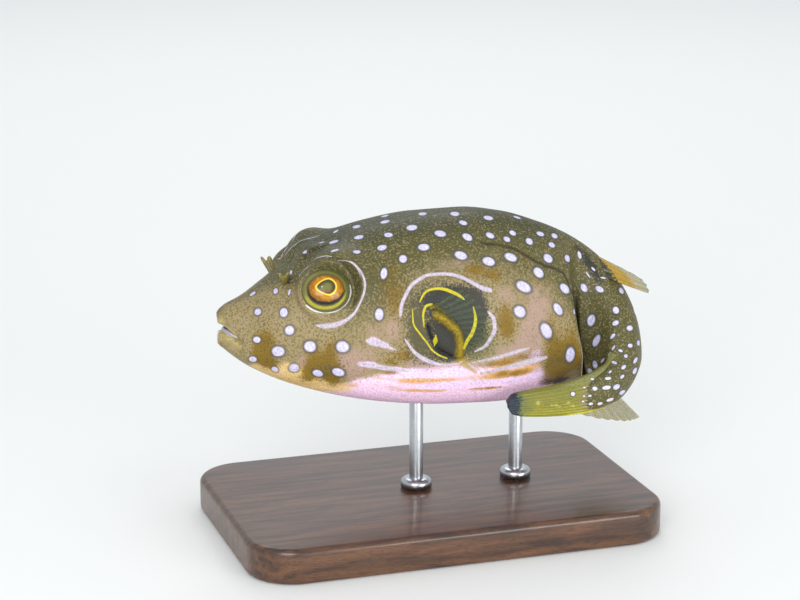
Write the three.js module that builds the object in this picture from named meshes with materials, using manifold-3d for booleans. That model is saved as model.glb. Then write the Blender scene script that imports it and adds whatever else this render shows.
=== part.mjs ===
// A young white-spotted pufferfish, life size, its tail curled round to its left, on a small display stand.
// Millimetres, +Z up. The fish looks towards -X and its left flank faces -Y.
// The origin is the centre of the stand's underside. The fish is first worked out in its own frame, with x
// counted back from the snout and z from the level of the mouth, and is then lifted on to the stand.
import * as THREE from "three";
import { mergeVertices } from "three/addons/utils/BufferGeometryUtils.js";
import Module from "manifold-3d";

const wasm = await Module();
wasm.setup();

// ---------------------------------------------------------------- driving dimensions
const FISH_AT = new THREE.Vector3(-37, 0, 38); // the mouth, from the centre of the stand's underside
const GAP = 0.3; // left between neighbouring solids
const ROUND_FLESH = 32; // points round a section of the body
const GILL_CUT = 31; // where the head ends, back from the snout
const TRUNK_CUT = 58.5; // where the trunk ends
const TAIL_CUT = 69.5; // where the stalk of the tail begins
const HEAD_LENGTHS = 28; // rings of facets along each length of the body
const TRUNK_LENGTHS = 11;
const TAIL_ROOT_LENGTHS = 14;
const TAIL_STALK_LENGTHS = 9;

// The rings of the body, from the back of the mouth out over the lips and back to the root of the caudal fin.
// Each row: distance back from the snout, half width, top, widest level, bottom, how far the sides lie behind
// the top and bottom, and the fullness of the section above and below its widest level (2 is an ellipse).
const RINGS = [
  [5.8, 0.3, -0.7, -0.9, -1.1, 0.0, 2.0, 2.0], // back of the mouth
  [5.2, 2.2, -0.3, -0.9, -1.4, 0.5, 2.0, 2.0],
  [2.4, 2.9, -0.3, -0.9, -1.4, 2.2, 2.0, 2.0], // inside of the lips
  [0.9, 3.6, 0.2, -1.0, -1.6, 2.8, 2.0, 2.0],
  [0.7, 4.4, 1.6, -1.0, -3.2, 2.6, 2.0, 2.0], // front of the lips
  [1.9, 5.1, 2.8, -1.1, -4.5, 1.8, 2.0, 2.1],
  [4.8, 6.4, 4.4, -1.4, -6.9, 0.8, 2.0, 2.2],
  [9.0, 8.3, 6.9, -2.0, -9.3, 0.2, 2.1, 2.3], // nostrils
  [14.0, 10.2, 10.0, -2.6, -11.4, 0.0, 2.3, 2.3],
  [20.0, 12.0, 13.2, -3.0, -13.3, 0.0, 2.4, 2.3], // behind the eyes
  [27.0, 13.4, 15.1, -3.2, -14.9, 0.0, 2.3, 2.3],
  [35.0, 14.2, 16.1, -3.2, -16.1, 0.0, 2.2, 2.3], // pectoral fins
  [43.0, 14.1, 16.2, -3.2, -16.8, 0.0, 2.1, 2.2],
  [50.0, 13.1, 15.2, -3.4, -17.1, 0.0, 2.0, 2.2],
  [56.0, 11.6, 13.2, -4.0, -17.1, 0.0, 2.0, 2.1],
  [61.0, 10.0, 10.9, -5.0, -16.9, 0.0, 2.0, 2.0],
  [66.0, 8.2, 7.3, -7.0, -16.6, 0.0, 2.0, 2.0], // dorsal and anal fins
  [70.0, 6.6, 2.9, -8.8, -16.2, 0.0, 2.0, 2.0],
  [74.0, 4.8, -3.0, -10.4, -15.8, 0.0, 2.0, 2.0],
  [77.0, 3.4, -7.8, -11.6, -15.6, 0.0, 2.0, 2.0],
  [79.5, 2.6, -9.3, -12.2, -15.5, 0.0, 2.0, 2.0], // root of the caudal fin
];
const LAST_RING = RINGS.length - 1;
const [ALONG, WIDTH, TOP, WIDEST, BOTTOM, SWEEP, FULL_ABOVE, FULL_BELOW] = RINGS[0].keys();

// The bend of the tail, in plan: where it begins and ends along the fish, how softly, and how far it turns.
const BEND = { from: 54.5, to: 90, soft: 9, turn: THREE.MathUtils.degToRad(188) };
// The crease in the left flank, where the skin folds on the inside of the bend: its place at mouth level, how
// far it leans forward for each millimetre up, its width and depth, and the heights between which it dies out.
const CREASE = { at: 62.6, lean: 0.14, wide: 2.8, depth: 0.5, fade: [74, 84], full: 6, top: 11 };
// The eyes: centre of the left ball, its radius, the way it looks and the half width of its opening.
const EYE = { centre: [16.9, -6.5, 5.2], radius: 4.9, looks: [-0.13, -0.9, 0.41], opening: 4.1 };
// The brow that stands up over each eye, and the low mound of skin round its opening, out along the way the
// eye looks: half width and height over the middle of the ball.
const BROW = { centre: [17.8, -8.6, 8.3], rise: 3.1, reach: 5.2, out: [-0.1, -0.55, 0.8] };
const MOUND = [
  [0, -1],
  [6.7, 0.4],
  [6.0, 2.2],
  [4.3, 3.0],
  [0, 3.0],
];

// The pectoral fins: the first and last points of the root, how far the root bows back between them, the way
// the first and last rays point, and the length of the longest ray. Given for the fish's right side.
const PECTORAL = {
  rays: 11,
  rootFrom: [32.6, 13.4, 3.4],
  rootTo: [37.2, 13.0, -5.7],
  bow: 1.3,
  wayFrom: [0.1, 0.75, 0.85],
  wayTo: [0.4, 0.75, -0.75],
  length: 9.0,
  shortest: 0.84,
  thickRoot: 1.5,
  thick: 0.6,
};
// The dorsal and anal fins: where the root begins and ends, the length and the slope of the first and last
// rays, and how far the fin leans to the fish's right.
const DORSAL = {
  rays: 9,
  root: [60.5, 68.4],
  length: [11.5, 9.8],
  slope: [-32, -21],
  lean: 0.45,
  thick: 0.8,
};
const ANAL = { rays: 9, root: [65.3, 71.2], length: [10.5, 8], slope: [-46, -28], lean: 0, thick: 0.8 };
const SUNK = 1; // how deep the rays of both begin under the skin
// The caudal fin: heights of its upper and lower edges at some stations along the bend, its thickness at the
// root and tip, and how far its upper edge rolls in to the flank.
const CAUDAL = {
  stations: [78.6, 84, 90, 94.5, 96.7, 97.6],
  top: [-8.8, -10.1, -11.4, -12.0, -12.5, -13.6],
  bottom: [-15.6, -16.1, -16.3, -16.1, -15.6, -14.4],
  from: 79.8,
  thickRoot: 2.4,
  thickTip: 0.7,
  roll: 1.4,
};
// The nasal flaps: place on the snout, the size of each petal, how far apart they stand and how they tilt.
const NOSTRIL = {
  at: [11.3, 3.9],
  tall: 2.4,
  wide: 0.5,
  thick: 0.32,
  part: 10,
  apart: 0.36,
  tilt: [14, -12, 20],
};
// Half width and height of a petal, as shares of its size.
const PETAL = [
  [0, -0.8],
  [0.75, -0.6],
  [0.85, 0],
  [1, 0.45],
  [0.8, 0.8],
  [0.4, 0.97],
  [0, 1],
];
// The beak: each plate is a half ring behind the lips, between two heights.
const BEAK = { at: 4.4, deep: 2.9, half: 2.7, wall: 0.9, upper: [-0.55, 1.3], lower: [-2.6, -0.9] };

const BASE = { long: 72, wide: 46, thick: 6, corner: 8, bevel: 0.8 };
const ROD = { radius: 1.2, into: 3, sink: 3, front: 35, rear: 53 }; // depth in the belly and in the base
const FERRULE = { radius: 2.7, tall: 1.6 };

const COLOUR = {
  skin: 0x8d7c55,
  belly: 0xe6cbdd,
  fin: 0x9a9530,
  clearFin: 0xb8aa55,
  iris: 0xb9781f,
  flap: 0x7c7236,
  tooth: 0xe9e4dc,
  wood: 0x4a2f1f,
  steel: 0xb9bcc0,
};

// ---------------------------------------------------------------- curves
const { clamp, degToRad, lerp } = THREE.MathUtils;

/** Eases from 0 at `from` to 1 at `to`, flat at both ends. */
function ease(from, to, x) {
  const t = clamp((x - from) / (to - from), 0, 1);
  return t * t * (3 - 2 * t);
}

/** A cubic through the points (xs, ys) that never overshoots them. */
function smoothCurve(xs, ys) {
  const step = xs.slice(1).map((x, i) => x - xs[i]);
  const rise = step.map((h, i) => (ys[i + 1] - ys[i]) / h);
  const slope = xs.map((_, i) => {
    if (i === 0) return rise[0];
    if (i === xs.length - 1) return rise[i - 1];
    if (rise[i - 1] * rise[i] <= 0) return 0;
    const before = 2 * step[i] + step[i - 1];
    const after = step[i] + 2 * step[i - 1];
    return (before + after) / (before / rise[i - 1] + after / rise[i]);
  });
  return (x) => {
    let i = xs.findIndex((_, k) => k > 0 && x < xs[k]) - 1;
    if (i < 0) i = x < xs[0] ? 0 : xs.length - 2;
    const h = step[i];
    const t = (x - xs[i]) / h;
    const near = (1 + 2 * t) * (1 - t) ** 2 * ys[i] + t * (1 - t) ** 2 * h * slope[i];
    const far = t * t * (3 - 2 * t) * ys[i + 1] + t * t * (t - 1) * h * slope[i + 1];
    return near + far;
  };
}

const ringSteps = RINGS.map((_, i) => i);
const ringColumns = RINGS[0].map((_, column) => smoothCurve(ringSteps, RINGS.map((ring) => ring[column])));

// ---------------------------------------------------------------- spine
const SPINE_STEP = 0.05;
const SPINE_LENGTH = 110;
const spine = buildSpine();

/** The spine in plan, as equal short steps: straight from the snout, then turning to the fish's left. */
function buildSpine() {
  const count = Math.round(SPINE_LENGTH / SPINE_STEP);
  const bend = Array.from({ length: count + 1 }, (_, i) => {
    const along = i * SPINE_STEP;
    return ease(BEND.from, BEND.from + BEND.soft, along) * (1 - ease(BEND.to - BEND.soft, BEND.to, along));
  });
  const whole = bend.reduce((sum, b) => sum + b, 0);
  const points = [];
  let turned = 0;
  let x = 0;
  let y = 0;
  for (const b of bend) {
    points.push({ x, y, heading: turned });
    turned += (b / whole) * BEND.turn;
    x += Math.cos(turned) * SPINE_STEP;
    y -= Math.sin(turned) * SPINE_STEP;
  }
  return points;
}

/** Place and heading of the spine a given distance back from the snout. */
function spineAt(along) {
  const i = clamp(along / SPINE_STEP, 0, spine.length - 1.001);
  const a = spine[Math.floor(i)];
  const b = spine[Math.floor(i) + 1];
  const t = i - Math.floor(i);
  return { x: lerp(a.x, b.x, t), y: lerp(a.y, b.y, t), heading: lerp(a.heading, b.heading, t) };
}

/** A point beside the spine: `left` to the fish's left of it, at height z. */
function besideSpine(along, left, z) {
  const s = spineAt(along);
  return new THREE.Vector3(s.x - left * Math.sin(s.heading), s.y - left * Math.cos(s.heading), z);
}

// ---------------------------------------------------------------- flesh
/** How much of the left half width is left at a place on the inside of the bend, where the skin is creased. */
function creased(along, z) {
  const at = CREASE.at - CREASE.lean * z;
  const dip = ease(at, at + CREASE.wide, along) * (1 - ease(...CREASE.fade, along));
  return 1 - CREASE.depth * dip * (1 - ease(CREASE.full, CREASE.top, z));
}

/** The brows: each lifts the skin near it outwards and up. */
function raiseBrows(point) {
  for (const side of [1, -1]) {
    const brow = new THREE.Vector3(...BROW.centre);
    const out = new THREE.Vector3(...BROW.out).normalize();
    brow.y *= side;
    out.y *= side;
    const near = Math.exp(-((point.distanceTo(brow) / BROW.reach) ** 3));
    point.addScaledVector(out, BROW.rise * near);
  }
  return point;
}

/** A point of the body's surface. Angle 0 is the back, a quarter turn the left flank, a half turn the belly. */
function fleshPoint(step, angle, grow = 0) {
  const ring = ringColumns.map((column) => column(step));
  const s = Math.sin(angle);
  const c = Math.cos(angle);
  const full = c > 0 ? ring[FULL_ABOVE] : ring[FULL_BELOW];
  const height = (c > 0 ? ring[TOP] - ring[WIDEST] : ring[WIDEST] - ring[BOTTOM]) + grow;
  const z = ring[WIDEST] + height * Math.sign(c) * Math.abs(c) ** (2 / full);
  const along = ring[ALONG] + ring[SWEEP] * Math.abs(s) ** 1.5;
  const width = ring[WIDTH] * (s > 0 ? creased(along, z) : 1) + grow;
  return raiseBrows(besideSpine(along, width * Math.sign(s) * Math.abs(s) ** (2 / full), z));
}

/** The step along the rings that lies a given distance back from the snout, on the outside of the body. */
function stepAt(along) {
  let low = 4;
  let high = LAST_RING;
  for (let i = 0; i < 40; i++) {
    const middle = (low + high) / 2;
    if (ringColumns[ALONG](middle) < along) low = middle;
    else high = middle;
  }
  return (low + high) / 2;
}

/** A closed solid through a list of rings of points, with a flat fan over each end. */
function loft(rings) {
  const round = rings[0].length;
  const vertices = rings.flat();
  const faces = [];
  for (let i = 0; i + 1 < rings.length; i++)
    for (let j = 0; j < round; j++) {
      const a = i * round + j;
      const b = i * round + ((j + 1) % round);
      faces.push(a, a + round, b, b, a + round, b + round);
    }
  const ends = [rings[0], rings.at(-1)].map((ring) => {
    const middle = new THREE.Vector3();
    ring.forEach((p) => middle.addScaledVector(p, 1 / round));
    return vertices.push(middle) - 1;
  });
  const last = (rings.length - 1) * round;
  for (let j = 0; j < round; j++) {
    const next = (j + 1) % round;
    faces.push(ends[0], j, next, ends[1], last + next, last + j);
  }
  const geometry = new THREE.BufferGeometry().setFromPoints(vertices);
  geometry.setIndex(faces);
  return geometry;
}

/** A length of the body between two steps, as a closed solid; `grow` makes it that much bigger all round. */
function fleshLength(from, to, lengths, grow = 0) {
  const rings = Array.from({ length: lengths + 1 }, (_, i) =>
    Array.from({ length: ROUND_FLESH }, (_, j) =>
      fleshPoint(lerp(from, to, i / lengths), (j / ROUND_FLESH) * 2 * Math.PI, grow),
    ),
  );
  return loft(rings);
}

// ---------------------------------------------------------------- solids
/** The solid inside a closed geometry, whichever way its faces look. */
function solid(geometry) {
  const bare = geometry.index ? geometry.clone() : geometry;
  for (const name of Object.keys(bare.attributes)) if (name !== "position") bare.deleteAttribute(name);
  const merged = mergeVertices(bare, 1e-4);
  const vertProperties = new Float32Array(merged.attributes.position.array);
  const triVerts = new Uint32Array(merged.index.array);
  const made = new wasm.Manifold(new wasm.Mesh({ numProp: 3, vertProperties, triVerts }));
  if (made.volume() >= 0) return made;
  for (let i = 0; i < triVerts.length; i += 3)
    [triVerts[i + 1], triVerts[i + 2]] = [triVerts[i + 2], triVerts[i + 1]];
  return new wasm.Manifold(new wasm.Mesh({ numProp: 3, vertProperties, triVerts }));
}

/** The largest of the separate pieces of a solid, as a geometry. */
function geometryOf(made) {
  const pieces = made.decompose().sort((a, b) => b.volume() - a.volume());
  const mesh = pieces[0].getMesh();
  const geometry = new THREE.BufferGeometry();
  geometry.setAttribute("position", new THREE.BufferAttribute(mesh.vertProperties, 3));
  geometry.setIndex(new THREE.BufferAttribute(mesh.triVerts, 1));
  geometry.computeVertexNormals();
  return geometry;
}

/** A named mesh of a solid, with its finish. */
function node(name, made, color, roughness = 0.6, metalness = 0) {
  const finish = new THREE.MeshStandardMaterial({ color, roughness, metalness });
  const mesh = new THREE.Mesh(geometryOf(made), finish);
  mesh.name = name;
  return mesh;
}

/** An eyeball; `grow` makes it that much bigger all round. */
function eyeball(side, grow = 0) {
  return solid(new THREE.SphereGeometry(EYE.radius + grow, 18, 10).translate(...eyeCentre(side)));
}

/**
 * A fin: rays from its root points to its tip points, as one slab.
 * `thickness(share)` is its thickness at that share of the way out along a ray.
 */
function fin(roots, tips, thickness, lengths = 4) {
  const rays = roots.length;
  const middle = roots.map((root, i) =>
    Array.from({ length: lengths + 1 }, (_, k) => root.clone().lerp(tips[i], k / lengths)),
  );
  const normalAt = (i, k) => {
    const across = middle[Math.min(i + 1, rays - 1)][k].clone().sub(middle[Math.max(i - 1, 0)][k]);
    const out = middle[i][Math.min(k + 1, lengths)].clone().sub(middle[i][Math.max(k - 1, 0)]);
    return across.cross(out).normalize();
  };
  const ringOf = (i) => {
    const sheet = (side) =>
      middle[i].map((p, k) => p.clone().addScaledVector(normalAt(i, k), (side * thickness(k / lengths)) / 2));
    return [...sheet(1), ...sheet(-1).reverse()];
  };
  return loft(middle.map((_, i) => ringOf(i)));
}

/** The first of `count` even shares from 0 to 1, and so on. */
const shares = (count) => Array.from({ length: count }, (_, i) => i / (count - 1));

// ---------------------------------------------------------------- pieces
/** The body whole, a little too big, which the fins and rods are cut back to. */
function grownBody() {
  return solid(fleshLength(4, LAST_RING, 90, GAP));
}

/** The middle of the eyeball on one side; `side` is -1 for the left. */
const eyeCentre = (side) => [EYE.centre[0], -side * EYE.centre[1], EYE.centre[2]];

/** One plate of the beak: a half ring in plan, between two heights. */
function beakPlate([low, high], grow = 0) {
  const outline = new THREE.Shape();
  const { deep, half, wall } = BEAK;
  outline.absellipse(0, 0, deep + grow, half + grow, Math.PI / 2, (3 * Math.PI) / 2, false);
  outline.absellipse(0, 0, deep - wall - grow, half - wall - grow, (3 * Math.PI) / 2, Math.PI / 2, true);
  outline.closePath();
  const plate = new THREE.ExtrudeGeometry(outline, {
    depth: high - low + 2 * grow,
    bevelEnabled: false,
    curveSegments: 8,
  });
  return solid(plate.translate(BEAK.at, 0, low - grow));
}

/** A round solid about the way the eye on one side looks, from its profile of half widths and heights. */
function roundEye(profile, side, count = 22) {
  const turned = new THREE.LatheGeometry(profile.map(([r, h]) => new THREE.Vector2(r, h)), count);
  const way = new THREE.Vector3(EYE.looks[0], -side * EYE.looks[1], EYE.looks[2]).normalize();
  turned.applyQuaternion(new THREE.Quaternion().setFromUnitVectors(new THREE.Vector3(0, 1, 0), way));
  return solid(turned.translate(...eyeCentre(side)));
}

/** The head: flesh with a mound round each eye, opened for the eyeballs and the beak. */
function head() {
  let made = solid(fleshLength(0, stepAt(GILL_CUT - GAP / 2), HEAD_LENGTHS));
  const opening = [
    [0, 1],
    [EYE.opening, 1],
    [EYE.opening + 0.6, 8],
    [0, 8],
  ];
  for (const side of [-1, 1]) {
    made = made.add(roundEye(MOUND, side)).subtract(roundEye(opening, side));
    made = made.subtract(eyeball(side, GAP));
  }
  for (const plate of [BEAK.upper, BEAK.lower]) made = made.subtract(beakPlate(plate, GAP));
  return made;
}

/** A nasal flap: two short petals on one root, standing on the snout. `side` is -1 for the left. */
function nasalFlap(side) {
  const { at, tall, wide, thick, part, apart, tilt } = NOSTRIL;
  const profile = PETAL.map(([r, h]) => new THREE.Vector2(r, h * tall));
  const petals = [-1, 1].map((way) => {
    const petal = new THREE.LatheGeometry(profile, 8).rotateX(Math.PI / 2);
    petal.scale(wide, thick, 1).rotateY(degToRad(way * part)).translate(way * apart, 0, 0);
    return solid(petal);
  });
  const foot = fleshSurface(at[0], side * at[1]);
  const made = petals[0].add(petals[1]).rotate([-side * tilt[0], tilt[1], side * tilt[2]]);
  return made.translate([foot.x, foot.y, foot.z]);
}

/** The point of the head's upper surface over a given x and y. */
function fleshSurface(x, y) {
  const step = stepAt(x);
  let low = 0;
  let high = Math.PI / 2;
  for (let i = 0; i < 30; i++) {
    const middle = (low + high) / 2;
    if (Math.abs(fleshPoint(step, middle).y) < Math.abs(y)) low = middle;
    else high = middle;
  }
  const p = fleshPoint(step, low);
  return new THREE.Vector3(p.x, y, p.z);
}

/** A vector between two, each given as [x, y, z], with y turned to the given side. */
function sideways(from, to, k, side) {
  const v = new THREE.Vector3(...from).lerp(new THREE.Vector3(...to), k);
  v.y *= side;
  return v;
}

/** A pectoral fin: a broad fan from a curved root behind the gill, standing out from the flank. */
function pectoralFin(side) {
  const { rays, rootFrom, rootTo, bow, wayFrom, wayTo, length, shortest, thickRoot, thick } = PECTORAL;
  const roots = shares(rays).map((k) => {
    const root = sideways(rootFrom, rootTo, k, side);
    root.x += bow * Math.sin(Math.PI * k);
    return root;
  });
  const tips = roots.map((root, i) => {
    const k = i / (rays - 1);
    const way = sideways(wayFrom, wayTo, k, side).normalize();
    return root.clone().addScaledVector(way, length * lerp(shortest, 1, Math.sin(Math.PI * k)));
  });
  return solid(fin(roots, tips, (share) => lerp(thickRoot, thick, ease(0, 0.4, share))));
}

/** A small fin on the back or belly line, which is the given column of the rings. */
function medianFin({ rays, root, length, slope, lean, thick }, column) {
  const places = shares(rays).map((k) => lerp(root[0], root[1], k));
  const sunk = column === TOP ? -SUNK : SUNK;
  const roots = places.map((along) => besideSpine(along, 0, ringColumns[column](stepAt(along)) + sunk));
  const tips = roots.map((start, i) => {
    const k = i / (rays - 1);
    const { heading } = spineAt(places[i]);
    const angle = degToRad(lerp(slope[0], slope[1], k));
    const back = new THREE.Vector3(Math.cos(heading), -Math.sin(heading), 0);
    const right = new THREE.Vector3(Math.sin(heading), Math.cos(heading), 0);
    const way = back.multiplyScalar(Math.cos(angle)).addScaledVector(right, lean);
    way.z = Math.sin(angle);
    const rounded = 1 - 0.22 * (2 * k - 1) ** 4;
    return start.clone().addScaledVector(way.normalize(), lerp(length[0], length[1], k) * rounded);
  });
  return solid(fin(roots, tips, () => thick));
}

/** The caudal fin, closed like a fan and carried on round the bend. Its upper edge rolls in to the flank. */
function caudalFin() {
  const { stations, from, thickRoot, thickTip, roll } = CAUDAL;
  const top = smoothCurve(stations, CAUDAL.top);
  const bottom = smoothCurve(stations, CAUDAL.bottom);
  const rings = shares(14).map((share) => {
    const along = lerp(from, stations.at(-1), share);
    const thick = lerp(thickRoot, thickTip, share ** 0.7) / 2;
    const middle = (top(along) + bottom(along)) / 2;
    const half = (top(along) - bottom(along)) / 2;
    return shares(15).slice(0, 14).map((turn) => {
      const up = Math.cos(turn * 2 * Math.PI);
      const side = Math.sin(turn * 2 * Math.PI);
      const rolled = roll * Math.max(up, 0) ** 2;
      return besideSpine(along, thick * side + rolled, middle + half * up);
    });
  });
  return solid(loft(rings));
}

/** The wooden base: a flat slab with round corners and a small bevel. */
function standBase() {
  const { long, wide, thick, corner, bevel } = BASE;
  const x = long / 2 - bevel;
  const y = wide / 2 - bevel;
  const r = corner - bevel;
  const outline = new THREE.Shape();
  outline.absarc(x - r, y - r, r, 0, Math.PI / 2);
  outline.absarc(r - x, y - r, r, Math.PI / 2, Math.PI);
  outline.absarc(r - x, r - y, r, Math.PI, 1.5 * Math.PI);
  outline.absarc(x - r, r - y, r, 1.5 * Math.PI, 2 * Math.PI);
  outline.closePath();
  const slab = new THREE.ExtrudeGeometry(outline, {
    depth: thick - 2 * bevel,
    bevelThickness: bevel,
    bevelSize: bevel,
    bevelSegments: 1,
    curveSegments: 5,
  });
  return solid(slab.translate(0, 0, bevel));
}

/** An upright round bar between two heights, over a place given back from the snout. */
function upright(along, low, high, radius) {
  const bar = new THREE.CylinderGeometry(radius, radius, high - low, 18).rotateX(Math.PI / 2);
  return solid(bar.translate(along + FISH_AT.x, 0, (low + high) / 2));
}

/** A ferrule: the small ring round the foot of a rod. */
function ferrule(along) {
  const low = BASE.thick + GAP;
  const ring = upright(along, low, low + FERRULE.tall, FERRULE.radius);
  return ring.subtract(upright(along, low - 1, low + FERRULE.tall + 1, ROD.radius + GAP));
}

// ---------------------------------------------------------------- the whole
const fish = new THREE.Group();
fish.position.copy(FISH_AT);
const stand = new THREE.Group();

const body = grownBody();
const rodTop = (along) => FISH_AT.z + ringColumns[BOTTOM](stepAt(along)) + ROD.into;
const rodSolid = (along, grow) =>
  upright(along, BASE.thick - ROD.sink - grow, rodTop(along) + grow, ROD.radius + grow);

let trunk = solid(fleshLength(stepAt(GILL_CUT + GAP / 2), stepAt(TRUNK_CUT - GAP / 2), TRUNK_LENGTHS));
let base = standBase();
for (const place of ["front", "rear"]) {
  const along = ROD[place];
  const bore = rodSolid(along, GAP);
  trunk = trunk.subtract(bore.translate([-FISH_AT.x, -FISH_AT.y, -FISH_AT.z]));
  base = base.subtract(bore);
  stand.add(node(`stand_rod_${place}`, rodSolid(along, 0), COLOUR.steel, 0.3, 1));
  stand.add(node(`stand_ferrule_${place}`, ferrule(along), COLOUR.steel, 0.3, 1));
}
stand.add(node("stand_base", base, COLOUR.wood, 0.5));

const tailRoot = solid(fleshLength(stepAt(TRUNK_CUT + GAP / 2), stepAt(TAIL_CUT - GAP / 2), TAIL_ROOT_LENGTHS));
const tailStalk = solid(fleshLength(stepAt(TAIL_CUT + GAP / 2), LAST_RING, TAIL_STALK_LENGTHS));
fish.add(node("head", head(), COLOUR.skin));
fish.add(node("trunk", trunk, COLOUR.skin));
fish.add(node("tail_root", tailRoot, COLOUR.skin));
fish.add(node("tail_stalk", tailStalk, COLOUR.skin));
fish.add(node("caudal_fin", caudalFin().subtract(body), COLOUR.fin));
fish.add(node("dorsal_fin", medianFin(DORSAL, TOP).subtract(body), COLOUR.fin));
fish.add(node("anal_fin", medianFin(ANAL, BOTTOM).subtract(body), COLOUR.clearFin));
fish.add(node("teeth_upper", beakPlate(BEAK.upper), COLOUR.tooth, 0.3));
fish.add(node("teeth_lower", beakPlate(BEAK.lower), COLOUR.tooth, 0.3));
for (const [name, side] of [["left", -1], ["right", 1]]) {
  fish.add(node(`eye_${name}`, eyeball(side), COLOUR.iris, 0.1));
  fish.add(node(`pectoral_fin_${name}`, pectoralFin(side).subtract(body), COLOUR.clearFin));
  fish.add(node(`nasal_flap_${name}`, nasalFlap(side).subtract(body), COLOUR.flap));
}

const pufferfish = new THREE.Group();
pufferfish.add(stand, fish);
export default pufferfish;
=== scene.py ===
"""A young white-spotted pufferfish, life size, its tail curled round to its left, on a small display stand.

Shapes are worked out in the fish's own frame, in millimetres: x back from the snout, the left flank
towards -y and z up from the level of the mouth. `Anatomy.placed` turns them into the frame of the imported
model, in metres. A place on the skin is told as (u, angle): u is the distance back from the snout, and the
angle is 0 on the back, 90 on the left flank, 180 on the belly and negative on the fish's right.
"""

from __future__ import annotations

import logging
import math
from collections.abc import Sequence
from dataclasses import dataclass, field
from enum import Enum

import bpy
import numpy as np
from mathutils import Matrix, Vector

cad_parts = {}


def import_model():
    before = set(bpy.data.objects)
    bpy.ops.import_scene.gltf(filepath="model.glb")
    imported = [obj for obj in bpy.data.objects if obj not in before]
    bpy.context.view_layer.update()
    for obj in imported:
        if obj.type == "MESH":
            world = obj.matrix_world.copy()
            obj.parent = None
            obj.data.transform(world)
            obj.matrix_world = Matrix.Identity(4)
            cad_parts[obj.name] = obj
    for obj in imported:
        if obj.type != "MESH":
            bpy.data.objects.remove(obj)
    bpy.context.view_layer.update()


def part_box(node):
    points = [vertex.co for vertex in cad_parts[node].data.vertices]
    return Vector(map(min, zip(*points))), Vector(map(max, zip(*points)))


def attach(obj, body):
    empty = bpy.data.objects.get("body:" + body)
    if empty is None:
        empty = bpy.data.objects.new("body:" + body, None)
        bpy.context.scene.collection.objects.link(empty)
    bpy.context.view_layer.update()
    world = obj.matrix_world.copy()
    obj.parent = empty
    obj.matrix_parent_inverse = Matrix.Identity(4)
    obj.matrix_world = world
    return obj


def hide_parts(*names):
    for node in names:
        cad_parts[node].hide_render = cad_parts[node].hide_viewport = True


log = logging.getLogger("pufferfish")
MM = 0.001
Points = np.ndarray
Paths = Sequence[tuple[float, ...]]


class Side(Enum):
    """The two sides of the fish: the sign of y."""

    LEFT = -1
    RIGHT = 1


# ---------------------------------------------------------------- curves and meshes
def ease(start: float, end: float, x: Points) -> Points:
    """Eases from 0 at `start` to 1 at `end`: the cubic 3t^2 - 2t^3, flat at both ends.

    Args:
        start: Where the step begins.
        end: Where it ends, on either side of `start`.
        x: The places to work out.
    """
    t = np.clip((x - start) / (end - start), 0, 1)
    return t * t * (3 - 2 * t)


def curve(xs: Sequence[float], ys: Sequence[float], x: Points) -> Points:
    """A smooth curve through points that never overshoots them: cubic pieces whose slope at a point is the
    weighted harmonic mean of the slopes beside it, or zero where the curve turns.

    Args:
        xs: Places of the points, rising.
        ys: Their heights.
        x: The places to work out.
    """
    xs, ys, x = (np.asarray(v, float) for v in (xs, ys, x))
    step = np.diff(xs)
    rise = np.diff(ys) / step
    slope = np.concatenate([rise[:1], np.zeros(len(xs) - 2), rise[-1:]])
    before, after = 2 * step[1:] + step[:-1], step[1:] + 2 * step[:-1]
    same = rise[:-1] * rise[1:] > 0
    safe = np.where(same, rise[:-1], 1), np.where(same, rise[1:], 1)
    slope[1:-1] = np.where(same, (before + after) / (before / safe[0] + after / safe[1]), 0)
    i = np.clip(np.searchsorted(xs, x, side="right") - 1, 0, len(xs) - 2)
    h, t = step[i], (x - xs[i]) / step[i]
    near = (1 + 2 * t) * (1 - t) ** 2 * ys[i] + t * (1 - t) ** 2 * h * slope[i]
    return near + t * t * (3 - 2 * t) * ys[i + 1] + t * t * (t - 1) * h * slope[i + 1]


def unit(v: Points) -> Points:
    """Vectors of length 1 along the last axis."""
    return v / np.maximum(np.linalg.norm(v, axis=-1, keepdims=True), 1e-12)


def power(x: Points, exponent: Points) -> Points:
    """The exponent of a number's size, with the number's sign."""
    return np.sign(x) * np.abs(x) ** exponent


def smooth_max(a: Points, b: Points, soft: float) -> Points:
    """The larger of two, rounded where they cross: their mean plus half the root of gap^2 + soft^2."""
    return (a + b + np.sqrt((a - b) ** 2 + soft**2)) / 2


def quads(rows: int, columns: int, closed: bool = False, first: int = 0) -> Points:
    """Faces of a grid of vertices. They look along (column step) x (row step).

    Args:
        rows: Number of rows.
        columns: Number of vertices in a row.
        closed: Whether the last column joins the first.
        first: Index of the grid's first vertex.

    Returns:
        One row of four vertex indices for each face.
    """
    i = np.arange(rows - 1)[:, None] * columns
    j = np.arange(columns if closed else columns - 1)[None, :]
    k = (j + 1) % columns
    corners = (i + j, i + k, i + columns + k, i + columns + j)
    return np.stack([first + c for c in corners], -1).reshape(-1, 4)


def fan(ring: Points, middle: int) -> Points:
    """Triangles, written as four-sided faces with a doubled corner, from a closed ring to a middle vertex."""
    return np.stack([ring, np.roll(ring, -1), np.full(len(ring), middle), np.full(len(ring), middle)], -1)


@dataclass
class Shape:
    """A mesh on its way: vertices in the fish's frame, faces, and named numbers at each vertex."""

    points: Points
    faces: Points
    marks: dict[str, Points] = field(default_factory=dict)

    def joined(self, other: Shape) -> Shape:
        """This shape and another as one, with the marks that both have."""
        faces = np.concatenate([self.faces, other.faces + len(self.points)])
        marks = {k: np.concatenate([v, other.marks[k]]) for k, v in self.marks.items() if k in other.marks}
        return Shape(np.concatenate([self.points, other.points]), faces, marks)


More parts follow.
